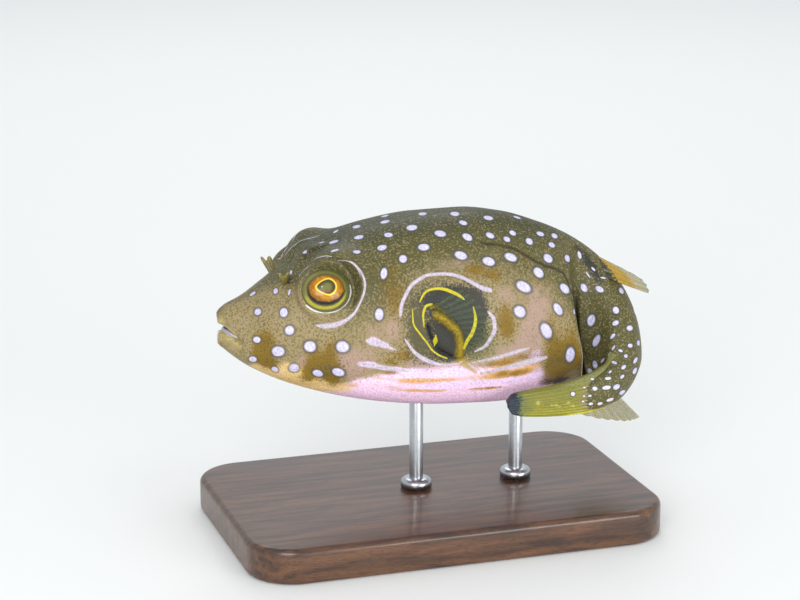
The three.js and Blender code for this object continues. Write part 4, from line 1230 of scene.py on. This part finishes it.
    def build(self) -> Shape:
        """The skin's mesh with its marks, in the fish's frame."""
        rows, columns = self.grid()
        step, angle = (v.ravel() for v in np.meshgrid(rows, columns, indexing="ij"))
        points = self.body.skin(step, angle)
        faces = quads(self.rows, self.columns, closed=True)
        index = np.arange(self.rows * self.columns).reshape(self.rows, self.columns)
        first, last = np.searchsorted(rows, (self.patch_from, self.patch_to))
        degrees = np.degrees(columns)
        kept = np.ones(len(faces), bool)
        extra_steps, extra_angles, extra_points, extra_faces = [step], [angle], [points], []
        count = len(points)
        for side in Side:
            edges = sorted((-side.value * self.patch_top, -side.value * self.patch_bottom))
            low, high = np.searchsorted(degrees, edges)
            face_row, face_column = np.divmod(np.arange(len(faces)), self.columns)
            inside = (face_row >= first) & (face_row < last) & (face_column >= low) & (face_column < high)
            kept &= ~inside
            square = index[first : last + 1, low : high + 1]
            rim = np.concatenate([square[0, :-1], square[:-1, -1], square[-1, :0:-1], square[:0:-1, 0]])
            made = self.eye_patch(step[rim], angle[rim], side)
            around, rings = len(rim), len(made[0])
            ringed = np.concatenate([rim, count + np.arange(rings * around)]).reshape(rings + 1, around)
            a, b = ringed[:-1], ringed[1:]
            strip = np.stack([a, np.roll(a, -1, 1), np.roll(b, -1, 1), b], -1).reshape(-1, 4)
            middle = count + rings * around
            extra_faces += [strip, fan(ringed[-1], middle)]
            origin, _, _, out = self.body.eye_axes(side)
            extra_steps += [made[0].ravel(), made[0][-1].mean(keepdims=True)]
            extra_angles += [made[1].ravel(), made[1][-1].mean(keepdims=True)]
            extra_points += [made[2].reshape(-1, 3), (origin + 1.9 * out)[None]]
            count = middle + 1
        ends = [index[0], index[-1][::-1]]
        for ring in ends:
            extra_faces.append(fan(ring[::-1], count))
            extra_steps.append(step[ring[:1]])
            extra_angles.append(angle[ring[:1]])
            extra_points.append(points[ring].mean(0, keepdims=True))
            count += 1
        faces = np.concatenate([faces[kept], *extra_faces])
        step, angle, points = (np.concatenate(v) for v in (extra_steps, extra_angles, extra_points))
        used = np.zeros(len(points), bool)
        used[faces] = True
        renumbered = np.cumsum(used) - 1
        return self.marked(Shape(points[used], renumbered[faces]), step[used], angle[used])

    def normals(self, shape: Shape) -> Points:
        """Outward normals of a shape's vertices: the sum of the normals of the faces round each."""
        corners = shape.points[shape.faces]
        face = np.cross(corners[:, 2] - corners[:, 0], corners[:, 3] - corners[:, 1])
        count = len(shape.points)
        total = [sum(np.bincount(shape.faces[:, k], face[:, c], count) for k in range(4)) for c in range(3)]
        return unit(np.stack(total, -1))

    def marked(self, shape: Shape, step: Points, angle: Points) -> Shape:
        """Adds the marks, and moves the skin along its normals at its grooves, ridges and folds.

        Args:
            shape: The bare skin.
            step: Step of each vertex along the rings.
            angle: Its angle, in radians.
        """
        normals = self.normals(shape)
        marking = Markings(self.body, shape.points, self.body.column(0, step), np.degrees(angle), step)
        shape.marks = marking.work_out(normals)
        rise = 0.75 * shape.marks["fin_root"] - 0.8 * shape.marks["slit"] - 0.22 * shape.marks["groove"]
        rise = rise - 0.12 * shape.marks["fold"] - 0.7 * shape.marks["crease"]
        rise = rise + 0.25 * shape.marks["crease_lip"]
        shape.points = shape.points + rise[:, None] * normals
        return shape

    def make(self) -> bpy.types.Object:
        """Makes the skin's piece."""
        shape = self.build()
        shape.points = self.body.placed(shape.points)
        nodes = ("head", "trunk", "tail_root", "tail_stalk")
        return make_piece("skin", shape, self.finish.material(), "skin", nodes)


# ---------------------------------------------------------------- eyes
@dataclass
class Eyeball:
    """An eyeball: a ball whose front carries the pupil, the iris and the pale ring round it."""

    body: Anatomy
    side: Side
    rings: int = 90
    around: int = 120
    finish: Finish = Finish(
        # Wet eye of a living fish: a clear cornea over a metallic orange iris.
        name="fish eye, clear cornea over orange iris",
        base="#6f6f4a",
        layers=(
            Layer("rim", "#56553a", 1.16, 1.04, wobble=0.05),
            Layer("rim", "#74733a", 1.05, 0.95, wobble=0.03, speckle=0.05),
            # The ring's own yellow, faded out towards the top: the duller top is painted shadow of the brow.
            Layer("lower_rim", "#a69b24", 0.3, 0.85, wobble=0.2, speckle=0.2),
            Layer("rim", "#57553e", 0.87, 0.8, wobble=0.03),
            # Painted shadow in the gap between the pale ring and the iris.
            Layer("shade", "#1d150d", 1.04, 0.9, wobble=0.08),
            Layer("iris", "#8a5409", 1.02, 0.96, wobble=0.06),
            Layer("iris", "#b8820a", 0.95, 0.7, wobble=0.35, speckle=0.3, amount=0.85),
            Layer("ring", "#f4cf4a", 1.05, 0.55, sheets=1),
            Layer("pupil", "#3a3d26", 1.04, 0.95),
            Layer("pupil", "#77743c", 0.85, 0.3, wobble=0.3, speckle=0.3, amount=0.85),
            Layer("under", "#a5552c", 1.0, 0.3, wobble=0.2, amount=0.6),
            Layer("glint", "#d8dcc8", 1.0, 0.5, amount=0.8),
        ),
        roughness=0.3,
        coat=0.25,
        shine=0.3,
        grain=0.8,
        fleck=0.15,
        mottle=0.12,
    )

    def make(self) -> bpy.types.Object:
        """Makes the piece: a ball with its pole towards the way it looks, marked with elliptical distances.
        """
        middle, ahead, up, out = self.body.eye_axes(self.side)
        tilt = curve((0, 0.8, 1), (0, 1.35, np.pi), np.linspace(0, 1, self.rings))[:, None]
        turn = np.linspace(0, 2 * np.pi, self.around, endpoint=False)[None, :]
        radius = self.body.eye_radius
        a = radius * np.sin(tilt) * np.cos(turn)
        b = radius * np.sin(tilt) * np.sin(turn)
        c = radius * np.cos(tilt) * np.ones_like(turn)
        points = middle + a[..., None] * ahead + b[..., None] * up + c[..., None] * out
        faces = quads(self.rings, self.around, closed=True)
        if self.side is Side.LEFT:
            faces = faces[:, ::-1]
        ellipse = lambda x, y, wide, tall: np.hypot((a - x) / wide, (b - y) / tall)  # noqa: E731
        tear = 1 - 0.22 * np.clip(a, -0.5, 1.6)
        gold = ellipse(0.05, 0.4, 1.65, 1.3 * tear)
        rim = ellipse(0.12, 0.02, 3.6, 3.2)
        marks = {
            "rim": rim,
            # lower_rim: the ring's own yellow, left out at the top as painted shadow of the brow
            "lower_rim": (1 - ease(0.04, 0.09, np.abs(rim - 0.92))) * ease(0.9, -2.2, b),
            "iris": ellipse(0.02, 0.2, 2.85, 2.2),
            # shade: painted shadow in the gap between the pale ring and the iris
            "shade": ellipse(0.05, -0.05, 3.1, 2.5),
            "ring_0": (gold - 1) / 0.09,
            "ring_0_away": 0 * gold,
            "pupil": ellipse(0.05, 0.4, 1.45, 1.1 * tear),
            "glint": ellipse(0.75, 0.45, 0.16, 0.14),
            "under": ellipse(0.0, -0.35, 0.9, 0.3),
        }
        flat = {mark: values.ravel() for mark, values in marks.items()}
        shape = Shape(self.body.placed(points.reshape(-1, 3)), faces, flat)
        name = f"eyeball_{self.side.name.lower()}"
        return make_piece(name, shape, self.finish.material(), "eye", [f"eye_{self.side.name.lower()}"])


# ---------------------------------------------------------------- fins
@dataclass(frozen=True)
class RayFin:
    """A fin of soft rays with membrane between them, as a thin closed shell.

    Each ray is a rounded rib; the membrane between is thinner, and the edge is a little scalloped.
    """

    rays: int
    rib: float = 0.22  # half thickness at a ray's root, in millimetres
    web: float = 0.07
    tip: float = 0.35  # share of the rib left at the tip
    scallop: float = 0.02
    per_ray: int = 8
    lengths: int = 40

    def shape(self, roots: Points, tips: Points, bow: Points | float = 0.0) -> Shape:
        """Lays rays from root points to tip points, resampled evenly along both.

        Args:
            roots: Points of the root, any number.
            tips: As many points of the tip.
            bow: How far the middle of the fin stands out of its plane, as a vector.

        Returns:
            The shell, with the marks `out` (0 at the root, 1 at the tip), `low` (0 at the first ray, 1 at the
            last) and `ray` (1 on a ray, 0 between).
        """
        count = self.rays * self.per_ray + 1
        across = np.linspace(0, 1, count)
        at = np.linspace(0, 1, len(roots))
        spread = lambda v: np.stack([curve(at, v[:, k], across) for k in range(3)], -1)  # noqa: E731
        wave = np.cos(2 * np.pi * self.rays * across - np.pi)
        ray = ((1 + wave) / 2) ** 1.3
        out = np.linspace(0, 1, self.lengths)
        reach = out[:, None] * (1 + self.scallop * (wave - 1) * out[:, None] ** 6)
        start, end = spread(roots), spread(tips)
        middle = start[None] + (end - start)[None] * reach[..., None]
        middle = middle + np.sin(np.pi * out)[:, None, None] * np.sin(np.pi * across)[None, :, None] * bow
        fade = 1 - (1 - self.tip) * out[:, None]
        half = (self.web + (self.rib - self.web) * ray[None]) * fade
        made = shell(middle, half)
        marks = {"out": out[:, None] + 0 * half, "low": across[None] + 0 * half, "ray": ray[None] + 0 * half}
        made.marks = {k: np.tile(v.ravel(), 2) for k, v in marks.items()}
        return made


def clear(material: bpy.types.Material, solid: float, web: float, root: float) -> None:
    """Makes a fin's membrane see-through: opaque near the root, thinner between its rays further out.

    Args:
        material: The fin's material.
        solid: Opacity of a ray away from the root.
        web: Opacity of the membrane there.
        root: How far out the opaque part reaches, as a share of the fin.
    """
    tree = material.node_tree
    surface = tree.nodes["Principled BSDF"]
    out = add(tree, "Attribute", attribute_name="out").outputs["Fac"]
    ray = add(tree, "Attribute", attribute_name="ray").outputs["Fac"]
    across = {"Value": ray, "From Min": 0.2, "From Max": 0.8, "To Min": web, "To Max": solid}
    thin = add(tree, "MapRange", across)
    outwards = {"Value": out, "From Min": root, "From Max": root + 0.25}
    far = add(tree, "MapRange", outwards, interpolation_type="SMOOTHSTEP")
    alpha = add(tree, "Mix", {"Factor": far, "A": 1.0, "B": thin})
    tree.links.new(alpha.outputs[0], surface.inputs["Alpha"])


@dataclass
class Pectoral:
    """A pectoral fin: a broad fan from a curved root behind the gill, standing out from the flank."""

    body: Anatomy
    side: Side
    root_from: tuple[float, float, float] = (32.6, 13.4, 3.4)
    root_to: tuple[float, float, float] = (37.2, 13.0, -5.7)
    bow: float = 1.3
    way_from: tuple[float, float, float] = (0.72, 0.5, 0.62)
    way_to: tuple[float, float, float] = (0.5, 0.62, -0.72)
    length: float = 8.2
    shortest: float = 0.8
    rays: RayFin = RayFin(rays=16, rib=0.16, web=0.04, scallop=0.04, lengths=44)
    finish: Finish = Finish(
        # Living fin: clear membrane on fine green rays, thick and yellow at the root.
        name="pectoral fin membrane",
        base="#5f6e4a",
        layers=(
            Layer("ray", "#587f3c", 0.3, 0.8, amount=0.9),
            Layer("low", "#b39a3a", 0.7, 1.0, amount=0.9),
            Layer("out", "#756a0e", 0.34, 0.1, wobble=0.1, speckle=0.1),
        ),
        roughness=0.3,
        coat=0.3,
        mottle=0.1,
    )

    def make(self) -> bpy.types.Object:
        """Makes the piece."""
        k = np.linspace(0, 1, 13)[:, None]
        told = (self.root_from, self.root_to, self.way_from, self.way_to)
        turned = [self.body.mirrored(v, self.side) for v in told]
        roots = turned[0] + (turned[1] - turned[0]) * k
        roots[:, 0] += self.bow * np.sin(np.pi * k[:, 0])
        way = unit(turned[2] + (turned[3] - turned[2]) * k)
        reach = self.length * (self.shortest + (1 - self.shortest) * np.sin(np.pi * k))
        made = self.rays.shape(roots, roots + way * reach, bow=np.array([0.8, 0, 0]))
        made.points = self.body.placed(made.points)
        name = f"pectoral_fin_{self.side.name.lower()}"
        material = self.finish.material()
        clear(material, 0.12, 0.015, 0.01)
        return make_piece("ray_" + name, made, material, "clear_fin", [name])


@dataclass
class Median:
    """The dorsal or anal fin: a small fan on the back or belly line, leaning to the fish's right."""

    body: Anatomy
    node: str
    slot: str
    column: int  # the measure of the rings that its root follows
    root: tuple[float, float]
    length: tuple[float, ...]  # of the rays, evenly from the first to the last
    slope: tuple[float, float]
    lean: float
    finish: Finish
    rays: RayFin
    opacity: tuple[float, float, float]
    sunk: float = 1.0

    def make(self) -> bpy.types.Object:
        """Makes the piece: each ray runs back, up or down by the slope, and leans to the right."""
        k = np.linspace(0, 1, 15)
        along = self.root[0] + (self.root[1] - self.root[0]) * k
        inwards = -self.sunk if self.column == 2 else self.sunk
        root_level = self.body.column(self.column, self.body.step_at(along)) + inwards
        roots = self.body.beside(along, 0.0, root_level)
        heading = np.interp(along, self.body.along, self.body.heading)
        slope = np.radians(self.slope[0] + (self.slope[1] - self.slope[0]) * k)
        x = np.cos(heading) * np.cos(slope) + np.sin(heading) * self.lean
        y = -np.sin(heading) * np.cos(slope) + np.cos(heading) * self.lean
        way = unit(np.stack([x, y, np.sin(slope)], -1))
        reach = curve(np.linspace(0, 1, len(self.length)), self.length, k)
        made = self.rays.shape(roots, roots + way * reach[:, None])
        made.points = self.body.placed(made.points)
        material = self.finish.material()
        clear(material, *self.opacity)
        return make_piece("ray_" + self.node, made, material, self.slot, [self.node])


def side_spots(
    u: Points, z: Points, fin: Caudal, name: str, spots: Paths, sheets: int, first: float = 0.0
) -> dict[str, Points]:
    """Small spots of the caudal fin's root, at vertices told by distance along the spine and height.

    Args:
        u: Distance of each vertex back from the snout along the spine.
        z: Its height.
        fin: The caudal fin, whose edges the spots' heights are shares between.
        name: The mark's name.
        spots: The spots, as in CAUDAL_SPOTS.
        sheets: How many sheets they are dealt out to, in turn.
        first: Where along the spine they may begin.

    Returns:
        For each sheet the vector from its nearest spot, of length 1 at the rim, and how far away it is.
    """
    marks = {}
    for k in range(sheets):
        nearest, beyond = np.full((u.size, 3), BEYOND), np.full(u.size, BEYOND)
        for along, level, long, tall in spots[k::sheets]:
            low, high = (float(curve(fin.stations, v, along)) for v in (fin.bottom, fin.top))
            ahead_by, above_by = (u.ravel() - along) / long, (z.ravel() - low - (high - low) * level) / tall
            arrow = np.stack([ahead_by, above_by], -1)
            past = (np.linalg.norm(arrow, axis=-1) - 1) * min(long, tall) + BEYOND * (u.ravel() < first)
            closer = past < beyond
            nearest[closer], beyond[closer] = np.pad(arrow, ((0, 0), (0, 1)))[closer], past[closer]
        marks[f"{name}_{k}"], marks[f"{name}_{k}_away"] = nearest, ease(0.2, 0.4, beyond)
    return marks


@dataclass
class Caudal:
    """The caudal fin: closed like a fan, carried on round the bend, its upper edge rolled in to the flank."""

    body: Anatomy
    stations: Sequence[float] = (76.0, 78.6, 84, 90, 94.5, 96.7, 97.6)
    top: Sequence[float] = (-6.9, -8.9, -10.1, -11.4, -12.0, -12.5, -13.6)
    bottom: Sequence[float] = (-14.8, -15.5, -16.1, -16.3, -16.1, -15.6, -14.4)
    start: float = 76.2
    thick_root: float = 2.4
    thick_tip: float = 0.7
    roll: float = 1.4
    rays: int = 10
    finish: Finish = Finish(
        # Folded fin: olive and yellow rays laid side by side, dark at the tip.
        name="caudal fin rays",
        base="#807c22",
        layers=(
            Layer("low", "#7d7a2a", 0.5, 0.25, wobble=0.2, speckle=0.2, amount=0.8),
            Layer("ray", "#6a6a26", 0.5, 0.1, wobble=0.5, speckle=0.4, amount=0.4),
            Layer("low", "#8f8a16", 0.5, 0.9, wobble=0.25, speckle=0.3, amount=0.9),
            Layer("flesh", "#7a6a3c", 0.35, 0.75, wobble=0.15, speckle=0.4),
            Layer("edge", "#c9bc2a", 0.3, 0.9, wobble=0.2, speckle=0.2),
            Layer("tube", "#77763a", 0.3, 0.8, speckle=0.2),
            Layer("tube", "#97945a", 0.85, 1.0, speckle=0.4, amount=0.6),
            Layer("out", "#55653f", 0.8, 0.9, wobble=0.1, speckle=0.1, amount=0.7),
            Layer("out", "#1b2936", 0.875, 0.93, wobble=0.06, speckle=0.06),
            Layer("small", "#3f3f22", 1.7, 1.1, amount=0.7, arrow=True, sheets=SMALL_SHEETS),
            Layer("small", "#cdcad6", 1.15, 0.75, arrow=True, sheets=SMALL_SHEETS),
            Layer("faint", "#b3ae5c", 1.2, 0.6, amount=0.8, arrow=True, sheets=1),
        ),
        roughness=0.4,
        coat=0.3,
        mottle=0.12,
        grain=1.2,
    )

    def make(self) -> bpy.types.Object:
        """Makes the piece: a flattened closed bag whose sides carry the rays as ribs."""
        rows, columns = 150, 150
        share = np.linspace(0, 1, rows)[:, None]
        u = self.start + (self.stations[-1] - self.start) * share
        turn = np.linspace(0, 2 * np.pi, columns, endpoint=False)[None]
        top, bottom = (curve(self.stations, v, u) for v in (self.top, self.bottom))
        up, side = np.cos(turn), np.sin(turn)
        height = (1 - up) / 2
        tube_ = np.exp(-(((height - 0.07) / 0.07) ** 2)) * (1 - ease(0.7, 0.95, share))
        rib = 1 + 0.16 * np.cos(2 * np.pi * self.rays * height) * ease(0.25, 0.5, share)
        thick = (self.thick_root + (self.thick_tip - self.thick_root) * share**0.7) / 2 * rib
        out = thick * side + 0.5 * tube_ * np.sign(side)
        rolled = self.roll * ease(0.0, 0.2, share) * np.maximum(up, 0) ** 2
        z = (top + bottom) / 2 + (top - bottom) / 2 * up
        points = self.body.beside(u, out + rolled, z)
        count = rows * columns
        everything = np.concatenate([points.reshape(-1, 3), points[[0, -1]].mean(1)])
        faces = [quads(rows, columns, closed=True), fan(np.arange(columns)[::-1], count)]
        faces.append(fan(np.arange(count - columns, count), count + 1))
        grid = lambda v: np.append((v + 0 * z).ravel(), [0.0, 1.0])  # noqa: E731
        marks = {
            "out": grid(share),
            "low": grid(height),
            "ray": grid((1 + np.cos(2 * np.pi * self.rays * height)) / 2),
            "tube": grid(np.exp(-(((height - 0.05) / 0.09) ** 2)) * (1 - ease(0.5, 0.85, share))),
            "flesh": grid(1 - ease(82, 90, u + 4 * np.abs(height - 0.55))),
            "edge": grid(ease(0.86, 0.97, height) * (1 - ease(84, 92, u))),
        }
        for name, spots, sheets in (("small", CAUDAL_SPOTS, SMALL_SHEETS), ("faint", CAUDAL_FLECKS, 1)):
            marks |= side_spots(np.append(u + 0 * z, [0, 0]), np.append(z, [0, 0]), self, name, spots, sheets)
        shape = Shape(self.body.placed(everything), np.concatenate(faces), marks)
        return make_piece("ray_caudal_fin", shape, self.finish.material(), "fin", ["caudal_fin"])


DORSAL_FINISH = Finish(
    # Living fin: nearly black where it leaves the back, with yellow dashes, and clear yellow beyond.
    name="dorsal fin membrane",
    base="#a8861a",
    layers=(
        Layer("out", "#8a8a4a", 0.7, 1.0, wobble=0.1),
        Layer("ray", "#6d6420", 0.5, 0.9, amount=0.4),
        Layer("out", "#2c2c18", 0.36, 0.24, wobble=0.12, speckle=0.2),
    ),
    roughness=0.35,
    coat=0.3,
    mottle=0.12,
)
ANAL_FINISH = Finish(
    # Living fin: clear yellow-green membrane on pale rays.
    name="anal fin membrane",
    base="#b3ac22",
    layers=(Layer("ray", "#c2b02c", 0.4, 0.9, amount=0.7),),
    roughness=0.35,
    coat=0.3,
    mottle=0.1,
)


# ---------------------------------------------------------------- mouth and nostrils
@dataclass
class Teeth:
    """The beak: an upper and a lower plate behind the lips, each a half ring with a rounded biting edge."""

    body: Anatomy
    at: float = 4.4
    deep: float = 2.9
    half: float = 2.7
    wall: float = 0.9
    levels: dict[str, tuple[float, float]] = field(
        default_factory=lambda: {"upper": (-0.55, 1.3), "lower": (-2.6, -0.9)}
    )
    finish: Finish = Finish(
        # Tooth: glossy, with a faint violet cast; its ivory is darkened to grey-violet as painted shade inside
        # the mouth.
        name="tooth enamel",
        base="#a097a4",
        roughness=0.25,
        coat=0.5,
        grain=0.6,
        mottle=0.05,
    )

    def make(self) -> None:
        """Makes both plates: a rounded section is carried round half an ellipse."""
        material = self.finish.material()
        turn = np.radians(np.linspace(90, 270, 61))[:, None]
        for name, (low, high) in self.levels.items():
            section = np.linspace(0, 2 * np.pi, 32, endpoint=False)[None]
            out = power(np.cos(section), 0.6)
            up = power(np.sin(section), 0.6)
            deep, half = (v - self.wall / 2 + out * self.wall / 2 for v in (self.deep, self.half))
            x = self.at + deep * np.cos(turn)
            y = half * np.sin(turn)
            z = (low + high) / 2 + (high - low) / 2 * up + 0 * turn
            points = self.body.gaped(np.stack([x, y, z], -1))
            count = points.shape[0] * points.shape[1]
            ends = points[[0, -1]].mean(1)
            faces = np.concatenate([
                quads(*points.shape[:2], closed=True),
                fan(np.arange(32)[::-1], count),
                fan(np.arange(count - 32, count), count + 1),
            ])
            shape = Shape(self.body.placed(np.concatenate([points.reshape(-1, 3), ends])), faces)
            make_piece(f"beak_{name}", shape, material, "tooth", [f"teeth_{name}"])


@dataclass
class NasalFlap:
    """A nasal flap: three soft petals on one root, standing on the snout."""

    body: Anatomy
    side: Side
    # Each petal: how far it leans (less than 0 is forward), its height and its half width.
    petals: Paths = ((-1.5, 2.6, 0.34), (-0.7, 2.0, 0.44), (-0.15, 2.6, 0.46))
    thick: float = 0.34
    splay: float = 0.62  # how far a petal leans outwards for each millimetre of its height
    shift: tuple[float, float, float] = (0.4, 0.1, -1.0)
    finish: Finish = Finish(
        # Skin of the nasal flaps: thin, olive and faintly see-through.
        name="nasal flap skin",
        base="#6f6430",
        layers=(Layer("out", "#94874a", 0.5, 1.0, wobble=0.3, speckle=0.3, amount=0.7),),
        roughness=0.45,
        coat=0.2,
        grain=0.8,
        mottle=0.15,
        bump=0.03,
        pebble=0.3,
    )

    def make(self) -> bpy.types.Object:
        """Makes the piece: each petal is a flattened strand that widens and then narrows to a blunt tip."""
        low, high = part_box(f"nasal_flap_{self.side.name.lower()}")
        foot = np.array([(low[0] + high[0]) / 2, (low[1] + high[1]) / 2, low[2]]) / MM - self.body.snout
        foot = foot + np.array(self.shift) * (1, self.side.value, 1)
        share = np.linspace(0, 1, 30)
        shapes = []
        for way, tall, wide in self.petals:
            lean_back, lean_out = way * (0.2 + 0.8 * share**1.3), self.splay * self.side.value * tall * share
            lean = np.stack([lean_back, lean_out, tall * share], -1)
            fat = curve((0, 0.15, 0.5, 0.8, 0.95, 1), (0.9, 0.85, 1.0, 0.9, 0.6, 0.15), share)
            made = tube(foot + lean, wide * fat, self.thick / 2 * fat, 20, (0.3, 0.9 * self.side.value, 0.1))
            made.marks = {"out": np.append(np.repeat(share, 20), [0.0, 1.0])}
            shapes.append(made)
        shape = shapes[0].joined(shapes[1]).joined(shapes[2])
        shape.points = self.body.placed(shape.points)
        name = f"nasal_flap_{self.side.name.lower()}"
        return make_piece("petals_" + name, shape, self.finish.material(), "skin", [name])


# ---------------------------------------------------------------- stand
@dataclass
class Stand:
    """The display stand: a varnished walnut slab with two steel rods in ferrules."""

    corner: float = 8.0
    bevel: float = 1.0
    wood: Finish = Finish(
        # Walnut, oiled and lightly varnished: dark straight grain under a satin film.
        name="varnished walnut",
        base="#4a2f1f",
        roughness=0.38,
        coat=0.35,
        grain=6.0,
        fleck=0.8,
    )
    steel: Finish = Finish(
        # Stainless steel rod, finely brushed.
        name="brushed stainless steel",
        base="#b9bcc0",
        roughness=0.28,
        metallic=1.0,
        fleck=0.6,
        mottle=0.05,
    )

    def walnut(self) -> bpy.types.Material:
        """The wood's material: noise drawn out along the board gives the grain, and finer noise the pores."""
        made = self.wood.material()
        tree = made.node_tree
        place = add(tree, "TexCoord").outputs["Object"]
        drawn = add(tree, "Mapping", {"Vector": place, "Scale": (1.0, 9.0, 9.0)})
        broad = {"Vector": drawn, "Scale": 1 / (14 * MM), "Detail": 4.0, "Distortion": 0.6}
        rings = add(tree, "TexNoise", broad)
        pores = add(tree, "TexNoise", {"Vector": drawn, "Scale": 1 / (1.5 * MM), "Detail": 2.0})
        light = add(tree, "MapRange", {"Value": rings, "From Min": 0.35, "From Max": 0.65})
        grain = {"Factor": light, "A": linear("#3a2417"), "B": linear("#6a452b")}
        colour = add(tree, "Mix", grain, data_type="RGBA")
        dark = add(tree, "MapRange", {"Value": pores, "From Min": 0.38, "From Max": 0.5, "To Min": 0.62})
        colour = add(tree, "VectorMath", {0: colour, "Scale": dark}, operation="SCALE")
        tree.links.new(colour.outputs[0], tree.nodes["Principled BSDF"].inputs["Base Color"])
        return made

    def slab(self) -> Shape:
        """The base: a rectangle with round corners, carried up a profile with rounded edges.

        Returns:
            The closed shape, in metres.
        """
        low, high = (np.array(v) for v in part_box("stand_base"))
        half = (high - low)[:2] / 2
        turn = np.radians(np.arange(0, 360, 3.0))
        quarter = np.stack([np.sign(np.cos(turn) + 1e-9), np.sign(np.sin(turn) + 1e-9)], -1)
        bend = np.linspace(0, np.pi / 2, 7)
        soft = self.bevel * MM
        insets = [*(soft * (1 - np.sin(bend))), *(soft * (1 - np.cos(bend)))]
        levels = [*(low[2] + soft * (1 - np.cos(bend))), *(high[2] - soft * (1 - np.sin(bend)))]
        rings = []
        for inset, level in zip(insets, levels):
            radius = self.corner * MM - inset
            centre = quarter * (half - self.corner * MM)
            flat = centre + radius * np.stack([np.cos(turn), np.sin(turn)], -1)
            rings.append(np.column_stack([flat, np.full(len(turn), level)]))
        points = np.concatenate([*rings, [[0, 0, low[2]], [0, 0, high[2]]]])
        count, around = len(rings) * len(turn), len(turn)
        ends = [fan(np.arange(around)[::-1], count), fan(np.arange(count - around, count), count + 1)]
        return Shape(points, np.concatenate([quads(len(rings), around, closed=True), *ends]))

    def turned(self, node: str, profile: Paths) -> Shape:
        """A round part over a node's middle; the profile's radii and heights are shares of the node's own."""
        low, high = (np.array(v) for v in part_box(node))
        middle, tall, radius = (low + high) / 2, high[2] - low[2], (high[0] - low[0]) / 2
        made = lathe([(r * radius, low[2] + h * tall) for r, h in profile], 48)
        made.points = made.points + [middle[0], middle[1], 0.0]
        return made

    def make(self) -> None:
        """Makes the slab, the rods and the ferrules."""
        make_piece("slab", self.slab(), self.walnut(), "stand_wood", ["stand_base"])
        steel = self.steel.material()
        rod = ((0.98, 0.0), (1.0, 0.01), (1.0, 0.99), (0.9, 1.0))
        ring = ((1.0, 0.0), (1.0, 0.55), (0.94, 0.78), (0.8, 0.93), (0.62, 1.0), (0.45, 1.0))
        for place in ("front", "rear"):
            node = f"stand_rod_{place}"
            make_piece("rod_" + place, self.turned(node, rod), steel, "stand_steel", [node])
            node = f"stand_ferrule_{place}"
            make_piece("ferrule_" + place, self.turned(node, ring), steel, "stand_steel", [node])


# ---------------------------------------------------------------- studio
@dataclass
class Studio:
    """The floor, the light and the camera."""

    azimuth: float = -18.0
    elevation: float = 15.0
    distance: float = 0.4
    target: tuple[float, float, float] = (-0.0049, 0.0, 0.0393)
    lens: float = 108.0
    floor: Finish = Finish(name="matt studio floor", base="#f0f0ed", roughness=0.9)  # painted board

    def aim(self, item: bpy.types.Object, place: Vector, target: Vector) -> None:
        """Puts a lamp or the camera at a place and turns it to a target."""
        item.location = place
        item.rotation_mode = "QUATERNION"
        item.rotation_quaternion = (target - place).to_track_quat("-Z", "Y")
        bpy.context.scene.collection.objects.link(item)

    def make(self) -> None:
        """Makes the floor, three soft lamps, the pale surroundings and the camera."""
        scene = bpy.context.scene
        scene.view_settings.view_transform = "Standard"
        reach = 3.0
        mesh = bpy.data.meshes.new("floor")
        corners = [(-reach, -reach, 0), (reach, -reach, 0), (reach, reach, 0), (-reach, reach, 0)]
        mesh.from_pydata(corners, [], [(0, 1, 2, 3)])
        mesh.materials.append(self.floor.material())
        floor = bpy.data.objects.new("floor", mesh)
        scene.collection.objects.link(floor)
        world = bpy.data.worlds.new("pale surroundings")
        world.use_nodes = True
        world.node_tree.nodes["Background"].inputs["Color"].default_value = linear("#e6ebf0")
        world.node_tree.nodes["Background"].inputs["Strength"].default_value = 0.9
        scene.world = world
        target = Vector(self.target)
        for name, place, size, power_ in (
            ("key", (-0.3, -0.55, 0.3), 0.4, 2.4),
            ("fill", (0.3, -0.6, 0.05), 0.4, 2.7),
            ("back", (0.15, 0.5, 0.55), 0.4, 1.0),
        ):
            lamp = bpy.data.lights.new(name, "AREA")
            lamp.shape, lamp.size, lamp.energy = "DISK", size, power_
            self.aim(bpy.data.objects.new(name, lamp), Vector(place), target)
        camera = bpy.data.cameras.new("camera")
        camera.lens = self.lens
        camera.clip_start, camera.clip_end = 0.01, 20.0
        a, e = math.radians(self.azimuth), math.radians(self.elevation)
        back = Vector((math.sin(a) * math.cos(e), -math.cos(a) * math.cos(e), math.sin(e)))
        item = bpy.data.objects.new("camera", camera)
        self.aim(item, target + back * self.distance, target)
        scene.camera = item


def main() -> None:
    """Builds every sub-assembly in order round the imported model."""
    logging.basicConfig(level=logging.INFO, format="%(message)s")
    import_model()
    body = Anatomy()
    Skin(body).make()
    for side in Side:
        Eyeball(body, side).make()
        Pectoral(body, side).make()
        NasalFlap(body, side).make()
    Teeth(body).make()
    Caudal(body).make()
    dorsal = RayFin(rays=10, rib=0.3, web=0.16, scallop=0.012)
    Median(
        body, "dorsal_fin", "fin", 2, (58.6, 68.4), (2.6, 4.6, 7.2, 9.2, 8.8), (-44, -13), 0.35,
        DORSAL_FINISH, dorsal, (0.6, 0.5, 0.5),
    ).make()
    anal = RayFin(rays=9, rib=0.26, web=0.14, scallop=0.012)
    Median(
        body, "anal_fin", "clear_fin", 4, (63.2, 71.2), (7.2, 8.2, 8.4, 7.8, 7.2), (-80, -36), 0.45,
        ANAL_FINISH, anal, (0.5, 0.4, 0.1),
    ).make()
    Stand().make()
    Studio().make()


if __name__ == "__main__":
    main()
